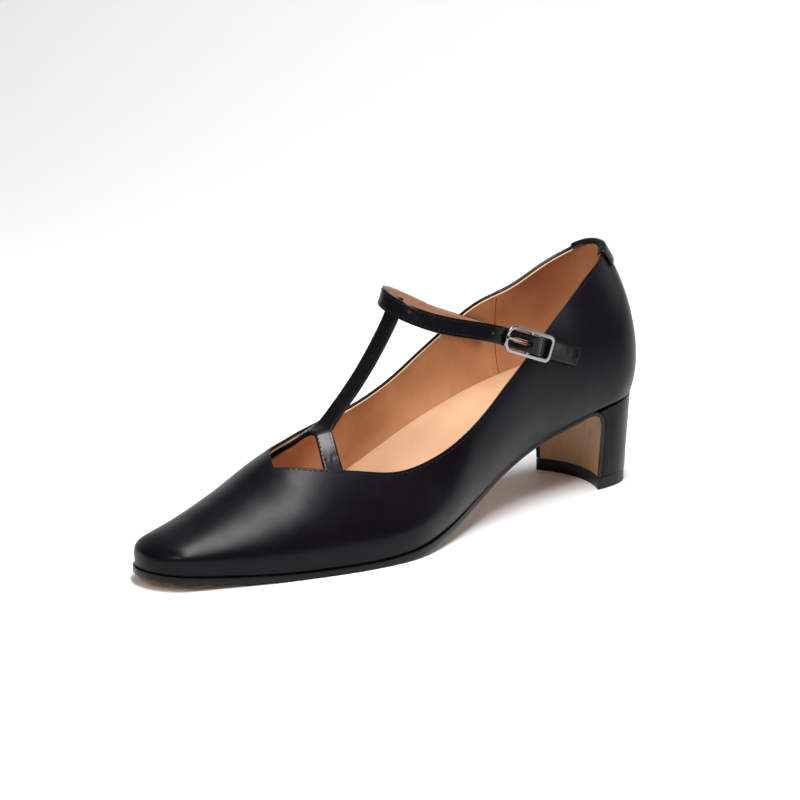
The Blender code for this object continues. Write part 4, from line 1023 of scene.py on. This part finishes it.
def make_outsole():
    columns = 16
    waist_end = BEND_START + WAIST_RUN
    alongs = ease_in(1.0, TOE_START, 12) + even(TOE_START, waist_end, 64) + [waist_end]
    edges = feather_edges(alongs[::-1], lambda a, side:
                          -SOLE_EDGE * min(max((a - EDGE_FRONT) / EDGE_RUN, -0.6), 1.0))
    edges = {side: line[::-1] for side, line in edges.items()}
    waist_steps = 10
    bend_rows = len(breast_path(0.0, 0.0, BEND_STEPS))
    rows = len(alongs) + waist_steps - 1 + bend_rows - 1

    def thickness(x):
        along = (x + SEAT_BACK) / LAST_LENGTH
        share = min(max((along - waist_end) / SOLE_RUN, 0.0), 1.0)
        return FLAP_THICKNESS + (SOLE_THICKNESS - FLAP_THICKNESS) * share

    def point(i, j, k):
        if i < len(alongs):
            half = max(0.5 * (edges[1][i] - edges[-1][i]).length, 3 * SOLE_BORDER)
            share = border_shares(half, columns, SOLE_BORDER)[j]
            flat = across(edges, i, (1 - share) / 2)
            top = seat_height(flat.x, flat.y) - GAP
            return (flat.x, flat.y, top - (0 if k else thickness(flat.x)))
        share = border_shares(TOP_HALF, columns, SOLE_BORDER)[j]
        path = breast_path(share, TOP_HALF, BEND_STEPS)
        step = i - len(alongs) + 1
        last = across(edges, len(alongs) - 1, (1 - share) / 2)
        if step < waist_steps:
            part = step / waist_steps
            x = last.x + (path[0][0].x - last.x) * part
            y = last.y + (share * TOP_HALF - last.y) * part
            top = seat_height(x, y) - GAP
            return (x, y, top - (0 if k else FLAP_THICKNESS))
        spot, normal = path[step - waist_steps]
        inside = spot + normal * FLAP_THICKNESS * k
        down = min(max((path[0][0].y - spot.y) / (path[0][0].y - LIFT_THICKNESS), 0.0), 1.0)
        half = TOP_HALF + (0.5 * TREAD_WIDTH - TOP_HALF) * down
        return (inside.x, share * half, inside.y)

    def zone(i, j, k):
        return 0 if k == 0 and 1 < j < columns - 1 else 1

    return block("outsole_leather", point, rows, columns, 1, zone)


outsole = make_outsole()
soften(outsole, CUT_ROUND, 2, 55.0)
finish_piece(outsole, [SOLE_LEATHER, EDGE_INK], ["outsole"])

# %% [markdown]
# ## Heel
# The block heel is moulded, covered with the upper's leather, and hollowed at the breast. Its section is
# blended from the seat's rounded outline at the top to the tread's at the bottom. The top lift is nailed on.

# %% Heel
HOLLOW_END = 0.45                       # share of the way to the back where the breast's hollow has died out


def hollow_share(part):
    """How much of the breast's hollow is left at a part of the way to the back."""
    return max(1 - part / HOLLOW_END, 0.0)**2


def make_heel(rows=48, columns=16, first=9):
    seam = FLAP_THICKNESS + GAP
    path_rows = len(breast_path(0.0, 0.0, BEND_STEPS))
    levels = path_rows - 1 - first
    corner_path = breast_path(1.0, TOP_HALF, BEND_STEPS)
    heights = [spot.y for spot, _ in corner_path]
    top_front = corner_path[first][0].x
    low_front = 0.5 * TREAD_LENGTH - seam

    def seat_point(part, side):
        angle = 0.5 * pi * part
        x = top_front - (top_front + SEAT_BACK) * sin(angle)**(2 / TREAD_POWER)
        return Vector((x, feather_y((x + SEAT_BACK) / LAST_LENGTH, side)))

    def point(i, j, k):
        share = 1 - 2 * j / columns
        part = i / rows
        path = breast_path(share, TOP_HALF, BEND_STEPS)
        spot, normal = path[path_rows - 1 - k]
        front = spot + normal * seam
        fall = (heights[first] - heights[path_rows - 1 - k]) / (heights[first] - heights[-1])
        up = 1 - fall
        low = tread_point(part, 1, low_front).lerp(tread_point(part, -1, low_front), j / columns)
        high = seat_point(part, 1).lerp(seat_point(part, -1), j / columns)
        flat = low.lerp(high, up)
        bottom = LIFT_THICKNESS + GAP
        height = bottom + (seat_height(high.x, high.y) - GAP - bottom) * up
        near = hollow_share(part)
        half = TOP_HALF + (0.5 * TREAD_WIDTH - TOP_HALF) * fall
        front_flat = Vector((front.x, share * half))
        seat = seat_point(0, 1).lerp(seat_point(0, -1), j / columns)
        base = tread_point(0, 1, low_front).lerp(tread_point(0, -1, low_front), j / columns).lerp(seat, up)
        base_height = bottom + (seat_height(*seat) - GAP - bottom) * up
        flat += (front_flat - base) * near
        height += (front.y - base_height) * near
        return (flat.x, flat.y, height)

    return block("heel_cover", point, rows, columns, levels)


heel = make_heel()
soften(heel, HEEL_ROUND, 3, 55.0)
finish_piece(heel, [UPPER_LEATHER], ["heel"])

# %% Top lift
def make_top_lift(rows=48, columns=16):
    corner = 0.5 * TREAD_LENGTH

    def point(i, j, k):
        share = 1 - 2 * j / columns
        part = i / rows
        flat = tread_point(part, 1, corner).lerp(tread_point(part, -1, corner), j / columns)
        near = hollow_share(part)
        return (flat.x + (breast_x(share) - corner) * near, flat.y, LIFT_THICKNESS * k)

    return block("top_lift_rubber", point, rows, columns, 1)


lift = make_top_lift()
soften(lift, CUT_ROUND, 2, 55.0)
finish_piece(lift, [LIFT_RUBBER], ["top_lift"])

# %% [markdown]
# ## Straps
# Each strap is a folded strip of glazed leather with a lining. The centre line and the width's direction come
# from the same functions as the solids; the strip is cut finer and its edges are rounded.

# %% Ankle strap
def finer(pairs, between, columns):
    """Rows of points between edge pairs, on a smooth curve along the strap, with columns across."""
    rows = []
    for i in range(len(pairs) - 1):
        before, after = pairs[max(i - 1, 0)], pairs[min(i + 2, len(pairs) - 1)]
        for b in range(between):
            t = b / between
            row = []
            for e in (0, 1):
                p0, p1, p2, p3 = before[e], pairs[i][e], pairs[i + 1][e], after[e]
                row.append(0.5 * (2 * p1 + (p2 - p0) * t + (2 * p0 - 5 * p1 + 4 * p2 - p3) * t * t
                                  + (3 * p1 - p0 - 3 * p2 + p3) * t**3))
            rows.append(row)
    rows.append(list(pairs[-1]))
    return [[low.lerp(high, c / columns) for c in range(columns + 1)] for low, high in rows]


PUNCH_DEPTH = 0.008


def punch(thing, place, ahead, up, length, radius):
    """A slot with round ends, or a round hole, cut through a strap. Returns the cutter."""
    out = up.cross(ahead)
    outline = []
    for centre, start in ((0.5 * length, -0.5 * pi), (-0.5 * length, 0.5 * pi)):
        for i in range(9):
            angle = start + pi * i / 8
            outline.append((centre + radius * cos(angle), radius * sin(angle)))
    points = [place + ahead * a + up * w + out * n
              for n in (-0.5 * PUNCH_DEPTH, 0.5 * PUNCH_DEPTH) for a, w in outline]
    count = len(outline)
    faces = [tuple(range(count)), tuple(range(2 * count - 1, count - 1, -1))]
    faces += [(i, (i + 1) % count, count + (i + 1) % count, count + i) for i in range(count)]
    cutter = sheet_object("punch", points, faces, turned_out=False)
    modifier = thing.modifiers.new("hole", "BOOLEAN")
    modifier.operation = "DIFFERENCE"
    modifier.solver = "EXACT"
    modifier.object = cutter
    return cutter


ankle_rows = finer(strap_edges(), 4, 6)
ankle = sheet_object("ankle_strap_leather", [p for row in ankle_rows for p in row],
                     grid_faces(len(ankle_rows), 7, flip=True))
thicken(ankle, STRAP_THICKNESS, 0.0, inner=1)
spot, ahead, up, out = buckle_place()
slot_middle = buckle_spot(HOLE_START + 0.5 * HOLE_LENGTH, 0.0, 0.0)
cutters = [punch(ankle, slot_middle, ahead, up, HOLE_LENGTH - HOLE_WIDTH, 0.5 * HOLE_WIDTH)]
SPARE_HOLE = 0.0185         # buckle's middle forward to the next hole
SPARE_RADIUS = 0.0006
hole_row = min(ankle_rows, key=lambda row: abs((row[3] - spot).length - SPARE_HOLE)
               + (1.0 if (row[3] - spot).dot(ahead) < 0 else 0.0))
after_row = ankle_rows[ankle_rows.index(hole_row) - 1]
hole_ahead = (after_row[3] - hole_row[3]).normalized()
hole_up = (hole_row[6] - hole_row[0]).normalized()
cutters.append(punch(ankle, hole_row[3], hole_ahead, hole_up, 0.0, SPARE_RADIUS))
soften(ankle, CUT_ROUND, 2, 55.0)
finish_piece(ankle, [STRAP_LEATHER, STRAP_LINING], ["ankle_strap"])
for cutter in cutters:
    bpy.data.objects.remove(cutter)

# %% T bar
SUNK_AT = 0.75              # how far along a branch it has sunk inside the vamp: 1 where the tuck begins


def make_instep_strap():
    lean = radians(STRAP_LEAN)
    up = Vector((-sin(lean), 0.0, cos(lean)))
    out = Vector((cos(lean), 0.0, sin(lean)))
    behind = (Vector((STRAP_FRONT, 0.0, STRAP_FRONT_HEIGHT))
              - out * (0.5 * STRAP_THICKNESS + GAP + CROSSING_EASE + 0.5 * BAR_THICKNESS))
    low = 0.5 * (STRAP_WIDTH + BAR_THICKNESS) + GAP
    end = [behind + up * BAR_END, behind, behind - up * low]
    half = Vector((0.0, 0.5 * BAR_STRAP_WIDTH, 0.0))
    fork = crown_point(BAR_JUNCTION, 0.0, 0.0)
    steps = 8
    run = (fork - end[-1]).normalized()
    sideways = Vector((run.z, 0.0, -run.x))
    stem = end + [end[-1].lerp(fork, i / steps) + sideways * BAR_SAG * sin(pi * i / steps)
                  for i in range(1, steps)]
    points = []
    for place in stem:
        points += [place + half, place - half]
    rows = [(2 * i, 2 * i + 1) for i in range(len(stem))]
    points += [crown_point(BAR_JUNCTION, half.y, 0.0), crown_point(BAR_JUNCTION, -half.y, 0.0)]
    corner = len(points) - 2
    faces = grid_faces(len(stem) + 1, 2)
    crotch = len(points)
    points.append(crown_point(BAR_JUNCTION + BAR_FORK, 0.0, 0.0))
    faces.append((corner, corner + 1, crotch))
    inside = WALL + GAP + 0.5 * BAR_THICKNESS
    branches = {}
    for side in (1, -1):
        back_y, front_y = [side * reach for reach in (BRANCH_OUTER if side > 0 else BRANCH_INNER)]
        previous = (corner if side > 0 else corner + 1, crotch)
        branches[side] = [previous]
        steps = 10
        for i in range(1, steps + 1):
            t = (1 + BRANCH_TUCK) * i / steps
            sunk = min(t / SUNK_AT, 1.0)
            depth = inside * sunk * sunk * (3 - 2 * sunk)
            back = crown_point(BAR_JUNCTION + (BRANCH_BACK - BAR_JUNCTION) * t,
                               side * half.y + (back_y - side * half.y) * t, depth)
            front = crown_point(BAR_JUNCTION + BAR_FORK + (BRANCH_FRONT - BAR_JUNCTION - BAR_FORK) * t,
                                front_y * t, depth)
            points += [back, front]
            new = (len(points) - 2, len(points) - 1)
            faces.append((previous[0], previous[1], new[1], new[0]))
            branches[side].append(new)
            previous = new
    bar = sheet_object("instep_strap_leather", points, faces, turned_out=False)
    return bar, points, rows, branches


bar, bar_points, stem_rows, branch_rows = make_instep_strap()
rounding = bar.modifiers.new("rounding", "SUBSURF")
rounding.levels = 3
rounding.render_levels = 3
rounding.boundary_smooth = "PRESERVE_CORNERS"
thicken(bar, BAR_THICKNESS, 0.0)
soften(bar, BAR_ROUND, 2, 60.0)
finish_piece(bar, [STRAP_LEATHER], ["instep_strap"])

# %% [markdown]
# ## Buckle
# A centre bar buckle: a flat frame with polished edges round two windows, a bar that the tab is folded round,
# and a wire prong that turns on that bar, comes up through the strap and rests on the frame's front.

# %% Curves to metal
def placed_curve(name, curve, material, node):
    """A curve made a welded mesh in the buckle's own directions."""
    guide = bpy.data.objects.new(name + "_curve", curve)
    bpy.context.scene.collection.objects.link(guide)
    bpy.context.view_layer.update()
    mesh = bpy.data.meshes.new_from_object(guide.evaluated_get(bpy.context.evaluated_depsgraph_get()))
    for vertex in mesh.vertices:
        vertex.co = buckle_spot(*vertex.co)
    work = bmesh.new()
    work.from_mesh(mesh)
    bmesh.ops.remove_doubles(work, verts=work.verts, dist=0.000001)
    bmesh.ops.recalc_face_normals(work, faces=work.faces)
    work.to_mesh(mesh)
    work.free()
    bpy.data.objects.remove(guide)
    thing = bpy.data.objects.new(name, mesh)
    bpy.context.scene.collection.objects.link(thing)
    return finish_piece(thing, [material], [node], smooth=40.0)


def rounded_rectangle(low_a, high_a, half_w, radii, steps=8):
    """Outline points of a rectangle, its corners rounded at the high and low end by the two radii."""
    outline = []
    near, far = radii
    centres = ((high_a - near, half_w - near, 0, near), (low_a + far, half_w - far, 1, far),
               (low_a + far, far - half_w, 2, far), (high_a - near, near - half_w, 3, near))
    for a, w, quarter, radius in centres:
        for i in range(steps + 1):
            angle = 0.5 * pi * (quarter + i / steps)
            outline.append((a + radius * cos(angle), w + radius * sin(angle)))
    return outline

# %% Buckle frame
FRAME_EDGE = 0.00030        # rounding of the frame's edges


def make_buckle_frame():
    curve = bpy.data.curves.new("buckle_outline", "CURVE")
    curve.dimensions = "2D"
    curve.fill_mode = "BOTH"
    curve.extrude = 0.5 * BUCKLE_METAL - FRAME_EDGE
    curve.bevel_depth = FRAME_EDGE
    curve.bevel_resolution = 3
    curve.offset = -FRAME_EDGE
    half_a = 0.5 * BUCKLE_LENGTH
    half_w = 0.5 * BUCKLE_WIDTH
    inner = [r - BUCKLE_BAND for r in BUCKLE_CORNERS]
    bar_half = 0.5 * BUCKLE_METAL
    square = 0.3 * BUCKLE_METAL
    loops = (rounded_rectangle(-half_a, half_a, half_w, BUCKLE_CORNERS),
             rounded_rectangle(bar_half, half_a - BUCKLE_BAND, half_w - BUCKLE_BAND, (inner[0], square)),
             rounded_rectangle(BUCKLE_BAND - half_a, -bar_half, half_w - BUCKLE_BAND, (square, inner[1])))
    for loop in loops:
        spline = curve.splines.new("POLY")
        spline.points.add(len(loop) - 1)
        for point, (a, w) in zip(spline.points, loop):
            point.co = (a, w, 0.0, 1.0)
        spline.use_cyclic_u = True
    return placed_curve("buckle_frame_metal", curve, NICKEL, "buckle_frame")


make_buckle_frame()

# %% Prong
def make_buckle_prong():
    radius = BAR_REACH + GAP + 0.5 * PRONG_WIRE
    pin_n = 0.5 * BUCKLE_METAL + GAP + 0.5 * PRONG_WIRE
    path = []
    for i in range(17):
        angle = radians(-40 - 230 * i / 16)
        path.append((radius * cos(angle), radius * sin(angle)))
    tip = 0.5 * BUCKLE_LENGTH
    path += [(0.12 * tip + 0.88 * tip * i / 12, pin_n + (radius - pin_n) * (1 - i / 12)**2)
             for i in range(1, 13)]
    curve = bpy.data.curves.new("prong_line", "CURVE")
    curve.dimensions = "3D"
    curve.bevel_depth = 0.5 * PRONG_WIRE
    curve.bevel_resolution = 3
    curve.use_fill_caps = True
    spline = curve.splines.new("POLY")
    spline.points.add(len(path) - 1)
    for point, (a, n) in zip(spline.points, path):
        point.co = (a, 0.0, n, 1.0)
    return placed_curve("buckle_prong_wire", curve, NICKEL, "buckle_prong")


make_buckle_prong()

# %% Buckle tab
def make_buckle_tab():
    """Round the middle bar and back along the quarter, with the prong's slot left out of its middle strip."""
    radius = BAR_REACH + GAP + 0.5 * TAB_THICKNESS
    half = 0.5 * TAB_WIDTH
    slot = 0.5 * PRONG_WIRE + 2 * GAP
    shares = [-half, -0.5 * (half + slot), -slot, slot, 0.5 * (half + slot), half]
    rows = []
    for i in range(28):
        angle = radians(-75 + 255 * i / 27)
        rows.append([buckle_spot(radius * cos(angle), w, radius * sin(angle)) for w in shares])
    open_rows = len(rows) + 2
    rest = GAP + 0.5 * TAB_THICKNESS
    bar_end = rows[-1]
    steps = 21
    for i in range(1, steps + 1):
        a = -radius - (TAB_LENGTH - radius) * i / steps
        down = min(3 * i / steps * 7 / 9, 1.0)
        down = down * down * (3 - 2 * down)
        row = []
        for w, end in zip(shares, bar_end):
            place = buckle_spot(a, w, 0.0)
            place.y = end.y + (wall_y(place.x, place.z, 1) + rest - end.y) * down
            row.append(place)
        rows.append(row)
    points = [p for row in rows for p in row]
    faces = [quad for quad in grid_faces(len(rows), len(shares))
             if not (quad[0] % len(shares) == 2 and quad[0] // len(shares) < open_rows)]
    tab = sheet_object("buckle_tab_leather", points, faces, turned_out=False)
    thicken(tab, TAB_THICKNESS, 0.0)
    soften(tab, TAB_ROUND, 2, 60.0)
    return finish_piece(tab, [STRAP_LEATHER], ["buckle_tab"])


make_buckle_tab()

# %% [markdown]
# ## Back tab
# A small piece of leather strengthens the topline at the back seam, where a finger pulls the shoe on. It is
# one ribbon up the outside and over the edge.

# %% Back tab
BACK_TAB_END = ease_in(0.0, BACK_END, 7)[BACK_TAB_STATIONS - 1]     # where along the last the tab stops
BACK_TAB_ROWS = 6                                                   # steps up the outside, and over the edge


def make_back_tab():
    """Rows run along the topline round the back; columns run from outside low up and over the edge."""
    alongs = ease_in(0.0, BACK_END, 14)
    alongs = [a for a in alongs if a < BACK_TAB_END] + [BACK_TAB_END]
    order = [(along, 1) for along in alongs[::-1]] + [(along, -1) for along in alongs[1:]]
    middle = 0.5 * BACK_TAB_THICKNESS + GAP
    step = 0.02
    points = []
    spots = []
    for along, side in order:
        top = topline_share(along, side)
        rate = step / (last_point(along, side, top) - last_point(along, side, top - step)).length
        spots.append([last_point(along, side, top - rate * BACK_TAB_DROP * (1 - k / BACK_TAB_ROWS))
                      for k in range(BACK_TAB_ROWS + 1)])
    for i, column_spots in enumerate(spots):
        before, after = spots[max(i - 1, 0)], spots[min(i + 1, len(spots) - 1)]
        ring = []
        normals = []
        for k in range(BACK_TAB_ROWS + 1):
            low, high = column_spots[max(k - 1, 0)], column_spots[min(k + 1, BACK_TAB_ROWS)]
            normals.append((after[k] - before[k]).cross(high - low).normalized())
        rise = (column_spots[-1] - column_spots[-2]).normalized()
        out_sign = 1 if normals[BACK_TAB_ROWS // 2].x < 0 else -1
        normals = [n * out_sign for n in normals]
        for place, normal in zip(column_spots[:-1], normals[:-1]):
            ring.append(place + normal * middle)
        centre = column_spots[-1] - normals[-1] * 0.5 * WALL
        reach = 0.5 * WALL + middle
        for k in range(BACK_TAB_ROWS):
            angle = pi * k / BACK_TAB_ROWS
            ring.append(centre + normals[-1] * reach * cos(angle) + rise * middle * sin(angle))
        points += ring
        width = len(ring)
    tab = sheet_object("back_tab_leather", points, grid_faces(len(order), width), turned_out=False)
    thicken(tab, BACK_TAB_THICKNESS, 0.0)
    soften(tab, TAB_ROUND, 2, 60.0)
    return finish_piece(tab, [STRAP_LEATHER], ["back_tab"])


make_back_tab()

# %% [markdown]
# ## Stitches
# Every seam is one guide line on the leather. A node group resamples the line to the stitch length, puts one
# short thread on each point and turns it along the line. The upper's edge has 12 stitches an inch, the straps
# a few more.

# %% Stitch nodes
def stitch_nodes():
    group = bpy.data.node_groups.new("stitch row", "GeometryNodeTree")
    sockets = group.interface
    sockets.new_socket("Line", in_out="INPUT", socket_type="NodeSocketGeometry")
    for name in ("Pitch", "Length", "Width"):
        sockets.new_socket(name, in_out="INPUT", socket_type="NodeSocketFloat").min_value = 0.0001
    sockets.new_socket("Thread", in_out="INPUT", socket_type="NodeSocketMaterial")
    sockets.new_socket("Stitches", in_out="OUTPUT", socket_type="NodeSocketGeometry")
    given = add_node(group, "NodeGroupInput").outputs
    curve = add_node(group, "GeometryNodeMeshToCurve", inputs={"Mesh": given["Line"]})
    points = add_node(group, "GeometryNodeResampleCurve", {"mode": "LENGTH"},
                      {"Curve": curve.outputs["Curve"], "Length": given["Pitch"]})
    ball = add_node(group, "GeometryNodeMeshUVSphere", {}, {"Segments": 8, "Rings": 6, "Radius": 0.5})
    size = add_node(group, "ShaderNodeCombineXYZ", {}, {"X": given["Length"], "Y": given["Width"],
                                                        "Z": given["Width"]})
    thread = add_node(group, "GeometryNodeTransform", {}, {"Geometry": ball.outputs["Mesh"],
                                                           "Scale": size.outputs["Vector"]})
    tangent = add_node(group, "GeometryNodeInputTangent")
    turn = add_node(group, "FunctionNodeAlignRotationToVector", {"axis": "X"},
                    {"Vector": tangent.outputs["Tangent"]})
    row = add_node(group, "GeometryNodeInstanceOnPoints", {},
                   {"Points": points.outputs["Curve"], "Instance": thread.outputs["Geometry"],
                    "Rotation": turn.outputs["Rotation"]})
    real = add_node(group, "GeometryNodeRealizeInstances", {}, {"Geometry": row.outputs["Instances"]})
    dressed = add_node(group, "GeometryNodeSetMaterial", {}, {"Geometry": real.outputs["Geometry"],
                                                              "Material": given["Thread"]})
    add_node(group, "NodeGroupOutput", inputs={"Stitches": dressed.outputs["Geometry"]})
    return group


STITCH_NODES = stitch_nodes()


def stitches(name, lines, material, slot, pitch=0.0021, length=0.0015, width=0.00036):
    """One piece with the stitches of several guide lines."""
    points, edges = [], []
    for line in lines:
        edges += [(len(points) + i, len(points) + i + 1) for i in range(len(line) - 1)]
        points += [tuple(p) for p in line]
    mesh = bpy.data.meshes.new(name)
    mesh.from_pydata(points, edges, [])
    thing = bpy.data.objects.new(name, mesh)
    bpy.context.scene.collection.objects.link(thing)
    modifier = thing.modifiers.new("stitches", "NODES")
    modifier.node_group = STITCH_NODES
    values = {"Pitch": pitch, "Length": length, "Width": width, "Thread": material}
    for socket in STITCH_NODES.interface.items_tree:
        if socket.in_out == "INPUT" and socket.name in values:
            modifier[socket.identifier] = values[socket.name]
    apply_modifiers(thing)
    thing.data.shade_smooth()
    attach(thing, "root")
    print(name, len(thing.data.polygons), "faces")
    return thing


def surface_tree(thing):
    """A piece's faces, arranged for finding the nearest place on them."""
    mesh = thing.data
    return BVHTree.FromPolygons([v.co for v in mesh.vertices], [p.vertices for p in mesh.polygons])


HOVER = 0.004               # how far off a line starts before it is laid on the leather


def laid_on(thing, line, hover, lift):
    """The line laid on a piece's surface: hover is the way from which it comes down, lift stands it proud."""
    tree = surface_tree(thing)
    laid = []
    for place, way in zip(line, hover):
        hit, normal, _, _ = tree.ray_cast(place + way * HOVER, -way, 2 * HOVER)
        if hit is not None:
            laid.append(hit + normal * lift)
    return laid

# %% Topline stitches
EDGE_MARGIN = 0.0014
THREAD_LIFT = 0.00004
line = edge_line(1, EDGE_MARGIN) + edge_line(-1, EDGE_MARGIN)[::-1]
upper_tree = surface_tree(upper)
topline_row = []
for place in line:
    hit, normal, _, _ = upper_tree.find_nearest(place)
    topline_row.append(hit + normal * THREAD_LIFT)
stitches("topline_stitches", [topline_row], THREAD, "upper_leather")

# %% Strap stitches
STRAP_MARGIN = 0.0011
FINE_STITCH = (0.0019, 0.0014, 0.00034)     # pitch, length and width on the straps


def ribbon_rows(rows, margin, lift):
    """Lines along both edges of a strap, a margin in, lifted off its outer or its inner face."""
    lines = [[], []]
    for i, row in enumerate(rows):
        before, after = rows[max(i - 1, 0)], rows[min(i + 1, len(rows) - 1)]
        across_way = (row[-1] - row[0]).normalized()
        normal = (after[3] - before[3]).cross(across_way).normalized()
        lines[0].append(row[0] + across_way * margin + normal * lift)
        lines[1].append(row[-1] - across_way * margin + normal * lift)
    return lines


outside = 0.5 * STRAP_THICKNESS + THREAD_LIFT
low_line, high_line = ribbon_rows(ankle_rows, STRAP_MARGIN, outside)
trim = next(i for i in range(len(low_line) - 1, 0, -1)
            if (low_line[i] - low_line[-1]).length > STRAP_MARGIN)
loop_line = low_line[:trim] + high_line[:trim][::-1]
stitches("ankle_strap_stitches", [loop_line], THREAD, "strap_leather", *FINE_STITCH)
inner_low, inner_high = ribbon_rows(ankle_rows, STRAP_MARGIN, -outside)
inner_line = inner_low[:trim] + inner_high[:trim][::-1]
stitches("ankle_strap_inner_stitches", [inner_line], TAN_THREAD, "sock_lining", *FINE_STITCH)

# %% Lining seam, and the painted shadow along it
# Width of the dark strip that paints the shadow along the seam.
SEAM_SHADOW_WIDTH = 0.0004
SEAM_LIFT = 0.00003
SEAM_MARGIN = 0.0022        # seam to the stitches beside it
SEAM_PLACE = 0.200          # share of LAST_LENGTH where it leaves the topline
SEAM_LEAN = 0.018           # how much nearer the back its lower end is, the same share
SEAM_TOP = 0.975            # shares of the way up the wall: its upper end, and what it runs down
SEAM_DROP = 0.93
SEAM_STEPS = 24


def seam_line(offset):
    """The seam where the quarter's lining meets the heel's, down from the topline on the inner side."""
    line = []
    for i in range(SEAM_STEPS + 1):
        down = i / SEAM_STEPS
        along = SEAM_PLACE - SEAM_LEAN * sin(0.5 * pi * down) + offset / LAST_LENGTH
        line.append(last_point(along, -1, topline_share(along, -1) * (SEAM_TOP - SEAM_DROP * down)))
    inside = [place + Vector((0.0, WALL, 0.0)) for place in line]
    return laid_on(lining, inside, [Vector((0.0, 1.0, 0.0))] * len(inside), SEAM_LIFT)


# A thin dark strip laid on the lining along the seam. Its colour is painted shadow of the step where the
# quarter's lining meets the heel's.
edges = [seam_line(-0.5 * SEAM_SHADOW_WIDTH), seam_line(0.5 * SEAM_SHADOW_WIDTH)]
count = min(len(edges[0]), len(edges[1]))
seam = sheet_object("lining_seam_painted_shadow", edges[0][:count] + edges[1][:count], grid_faces(2, count),
                    turned_out=False)
thicken(seam, 2 * SEAM_LIFT, 0.0)
finish_piece(seam, [SEAM_SHADOW_PAINT])
stitches("lining_stitches", [seam_line(SEAM_MARGIN), seam_line(-SEAM_MARGIN)], TAN_THREAD, "sock_lining")

# %% T bar stitches
def bar_lines():
    """Guide lines down the stem and the branches, a margin in from their edges, and the way each faces."""
    def inset(pair, margin=STRAP_MARGIN):
        a, b = bar_points[pair[0]], bar_points[pair[1]]
        way = (b - a).normalized()
        return a + way * margin, b - way * margin

    stem = [inset(pair) for pair in stem_rows[2:]]
    lines = []
    for e, side in ((0, 1), (1, -1)):
        outer = [pair[e] for pair in stem]
        outer += [inset(pair)[0] for pair in branch_rows[side][1:9]]
        lines.append(outer)
        lines.append([inset(pair)[1] for pair in branch_rows[side][1:9]])
    return lines


bar_rows = []
for line in bar_lines():
    fine_line = []
    for a, b in zip(line, line[1:]):
        fine_line += [a.lerp(b, i / 4) for i in range(4)]
    ways = [Vector((0.45, 0.0, 0.89))] * len(fine_line)
    bar_rows.append(laid_on(bar, fine_line, ways, THREAD_LIFT))
stitches("instep_strap_stitches", bar_rows, THREAD, "strap_leather", *FINE_STITCH)

# %% [markdown]
# ## Floor and light
# A white sweep, one long soft light overhead that draws the highlight on the vamp, and a weaker one from each
# side for the edges of the counter and the toe.

# %% Floor
SWEEP_TURN = 49.8           # degrees that the sweep's back is turned, nearly square to the photo's view
SWEEP_FRONT = -1.6
SWEEP_BEND = 0.45           # behind the shoe, where the floor starts to curve up
SWEEP_RADIUS = 0.5
SWEEP_TOP = 2.2


def make_sweep():
    """A floor that curves up behind the object as one sheet."""
    turn = radians(SWEEP_TURN)
    back = Vector((-sin(turn), -cos(turn), 0.0))
    side = Vector((-back.y, back.x, 0.0))
    profile = [(SWEEP_FRONT, 0.0), (0.0, 0.0), (SWEEP_BEND, 0.0)]
    profile += [(SWEEP_BEND + SWEEP_RADIUS * sin(radians(a)), SWEEP_RADIUS - SWEEP_RADIUS * cos(radians(a)))
                for a in range(6, 91, 6)]
    profile.append((SWEEP_BEND + SWEEP_RADIUS, SWEEP_TOP))
    points = []
    for along, height in profile:
        for across_share in (-2.2, -0.7, 0.7, 2.2):
            points.append(back * along + side * across_share + Vector((0.1, 0.0, height)))
    floor = sheet_object("floor", points, grid_faces(len(profile), 4), turned_out=True)
    floor.data.shade_smooth()
    material, tree, shader = new_material("white paper", Base_Color=linear("#f1f1f1"), Roughness=0.85)
    fibre = add_node(tree, "ShaderNodeTexNoise", {},
                     {"Vector": object_place(tree), "Scale": per_metre(0.002), "Detail": 2.0})
    add_node(tree, "ShaderNodeBump", {},
             {"Height": fibre.outputs["Fac"], "Distance": 0.00005, "Strength": 0.2},
             {"Normal": shader.inputs["Normal"]})
    floor.data.materials.append(material)
    return floor


make_sweep()

# %% Lights
def area_light(name, place, target, size, power, tint=(1.0, 1.0, 1.0)):
    data = bpy.data.lights.new(name, "AREA")
    data.shape = "RECTANGLE"
    data.size, data.size_y = size
    data.energy = power
    data.color = tint
    light = bpy.data.objects.new(name, data)
    light.location = place
    light.rotation_euler = (Vector(target) - Vector(place)).to_track_quat("-Z", "Y").to_euler()
    bpy.context.scene.collection.objects.link(light)
    return light


strip = area_light("overhead", (0.19, 0.24, 0.93), (0.19, 0.24, 0.0), (0.95, 0.24), 17.0)
strip.rotation_euler = (0.0, 0.0, radians(57.0))
area_light("heel_side", (-0.75, 0.35, 0.45), (0.05, 0.0, 0.05), (0.5, 0.5), 1.3)
area_light("toe_side", (0.85, 0.35, 0.62), (0.20, 0.0, 0.03), (0.22, 0.22), 2.4)
world = bpy.data.worlds.new("studio")
world.use_nodes = True
world.node_tree.nodes["Background"].inputs["Color"].default_value = (1.0, 1.0, 1.0, 1.0)
world.node_tree.nodes["Background"].inputs["Strength"].default_value = 0.15
bpy.context.scene.world = world
bpy.context.scene.view_settings.view_transform = "Standard"
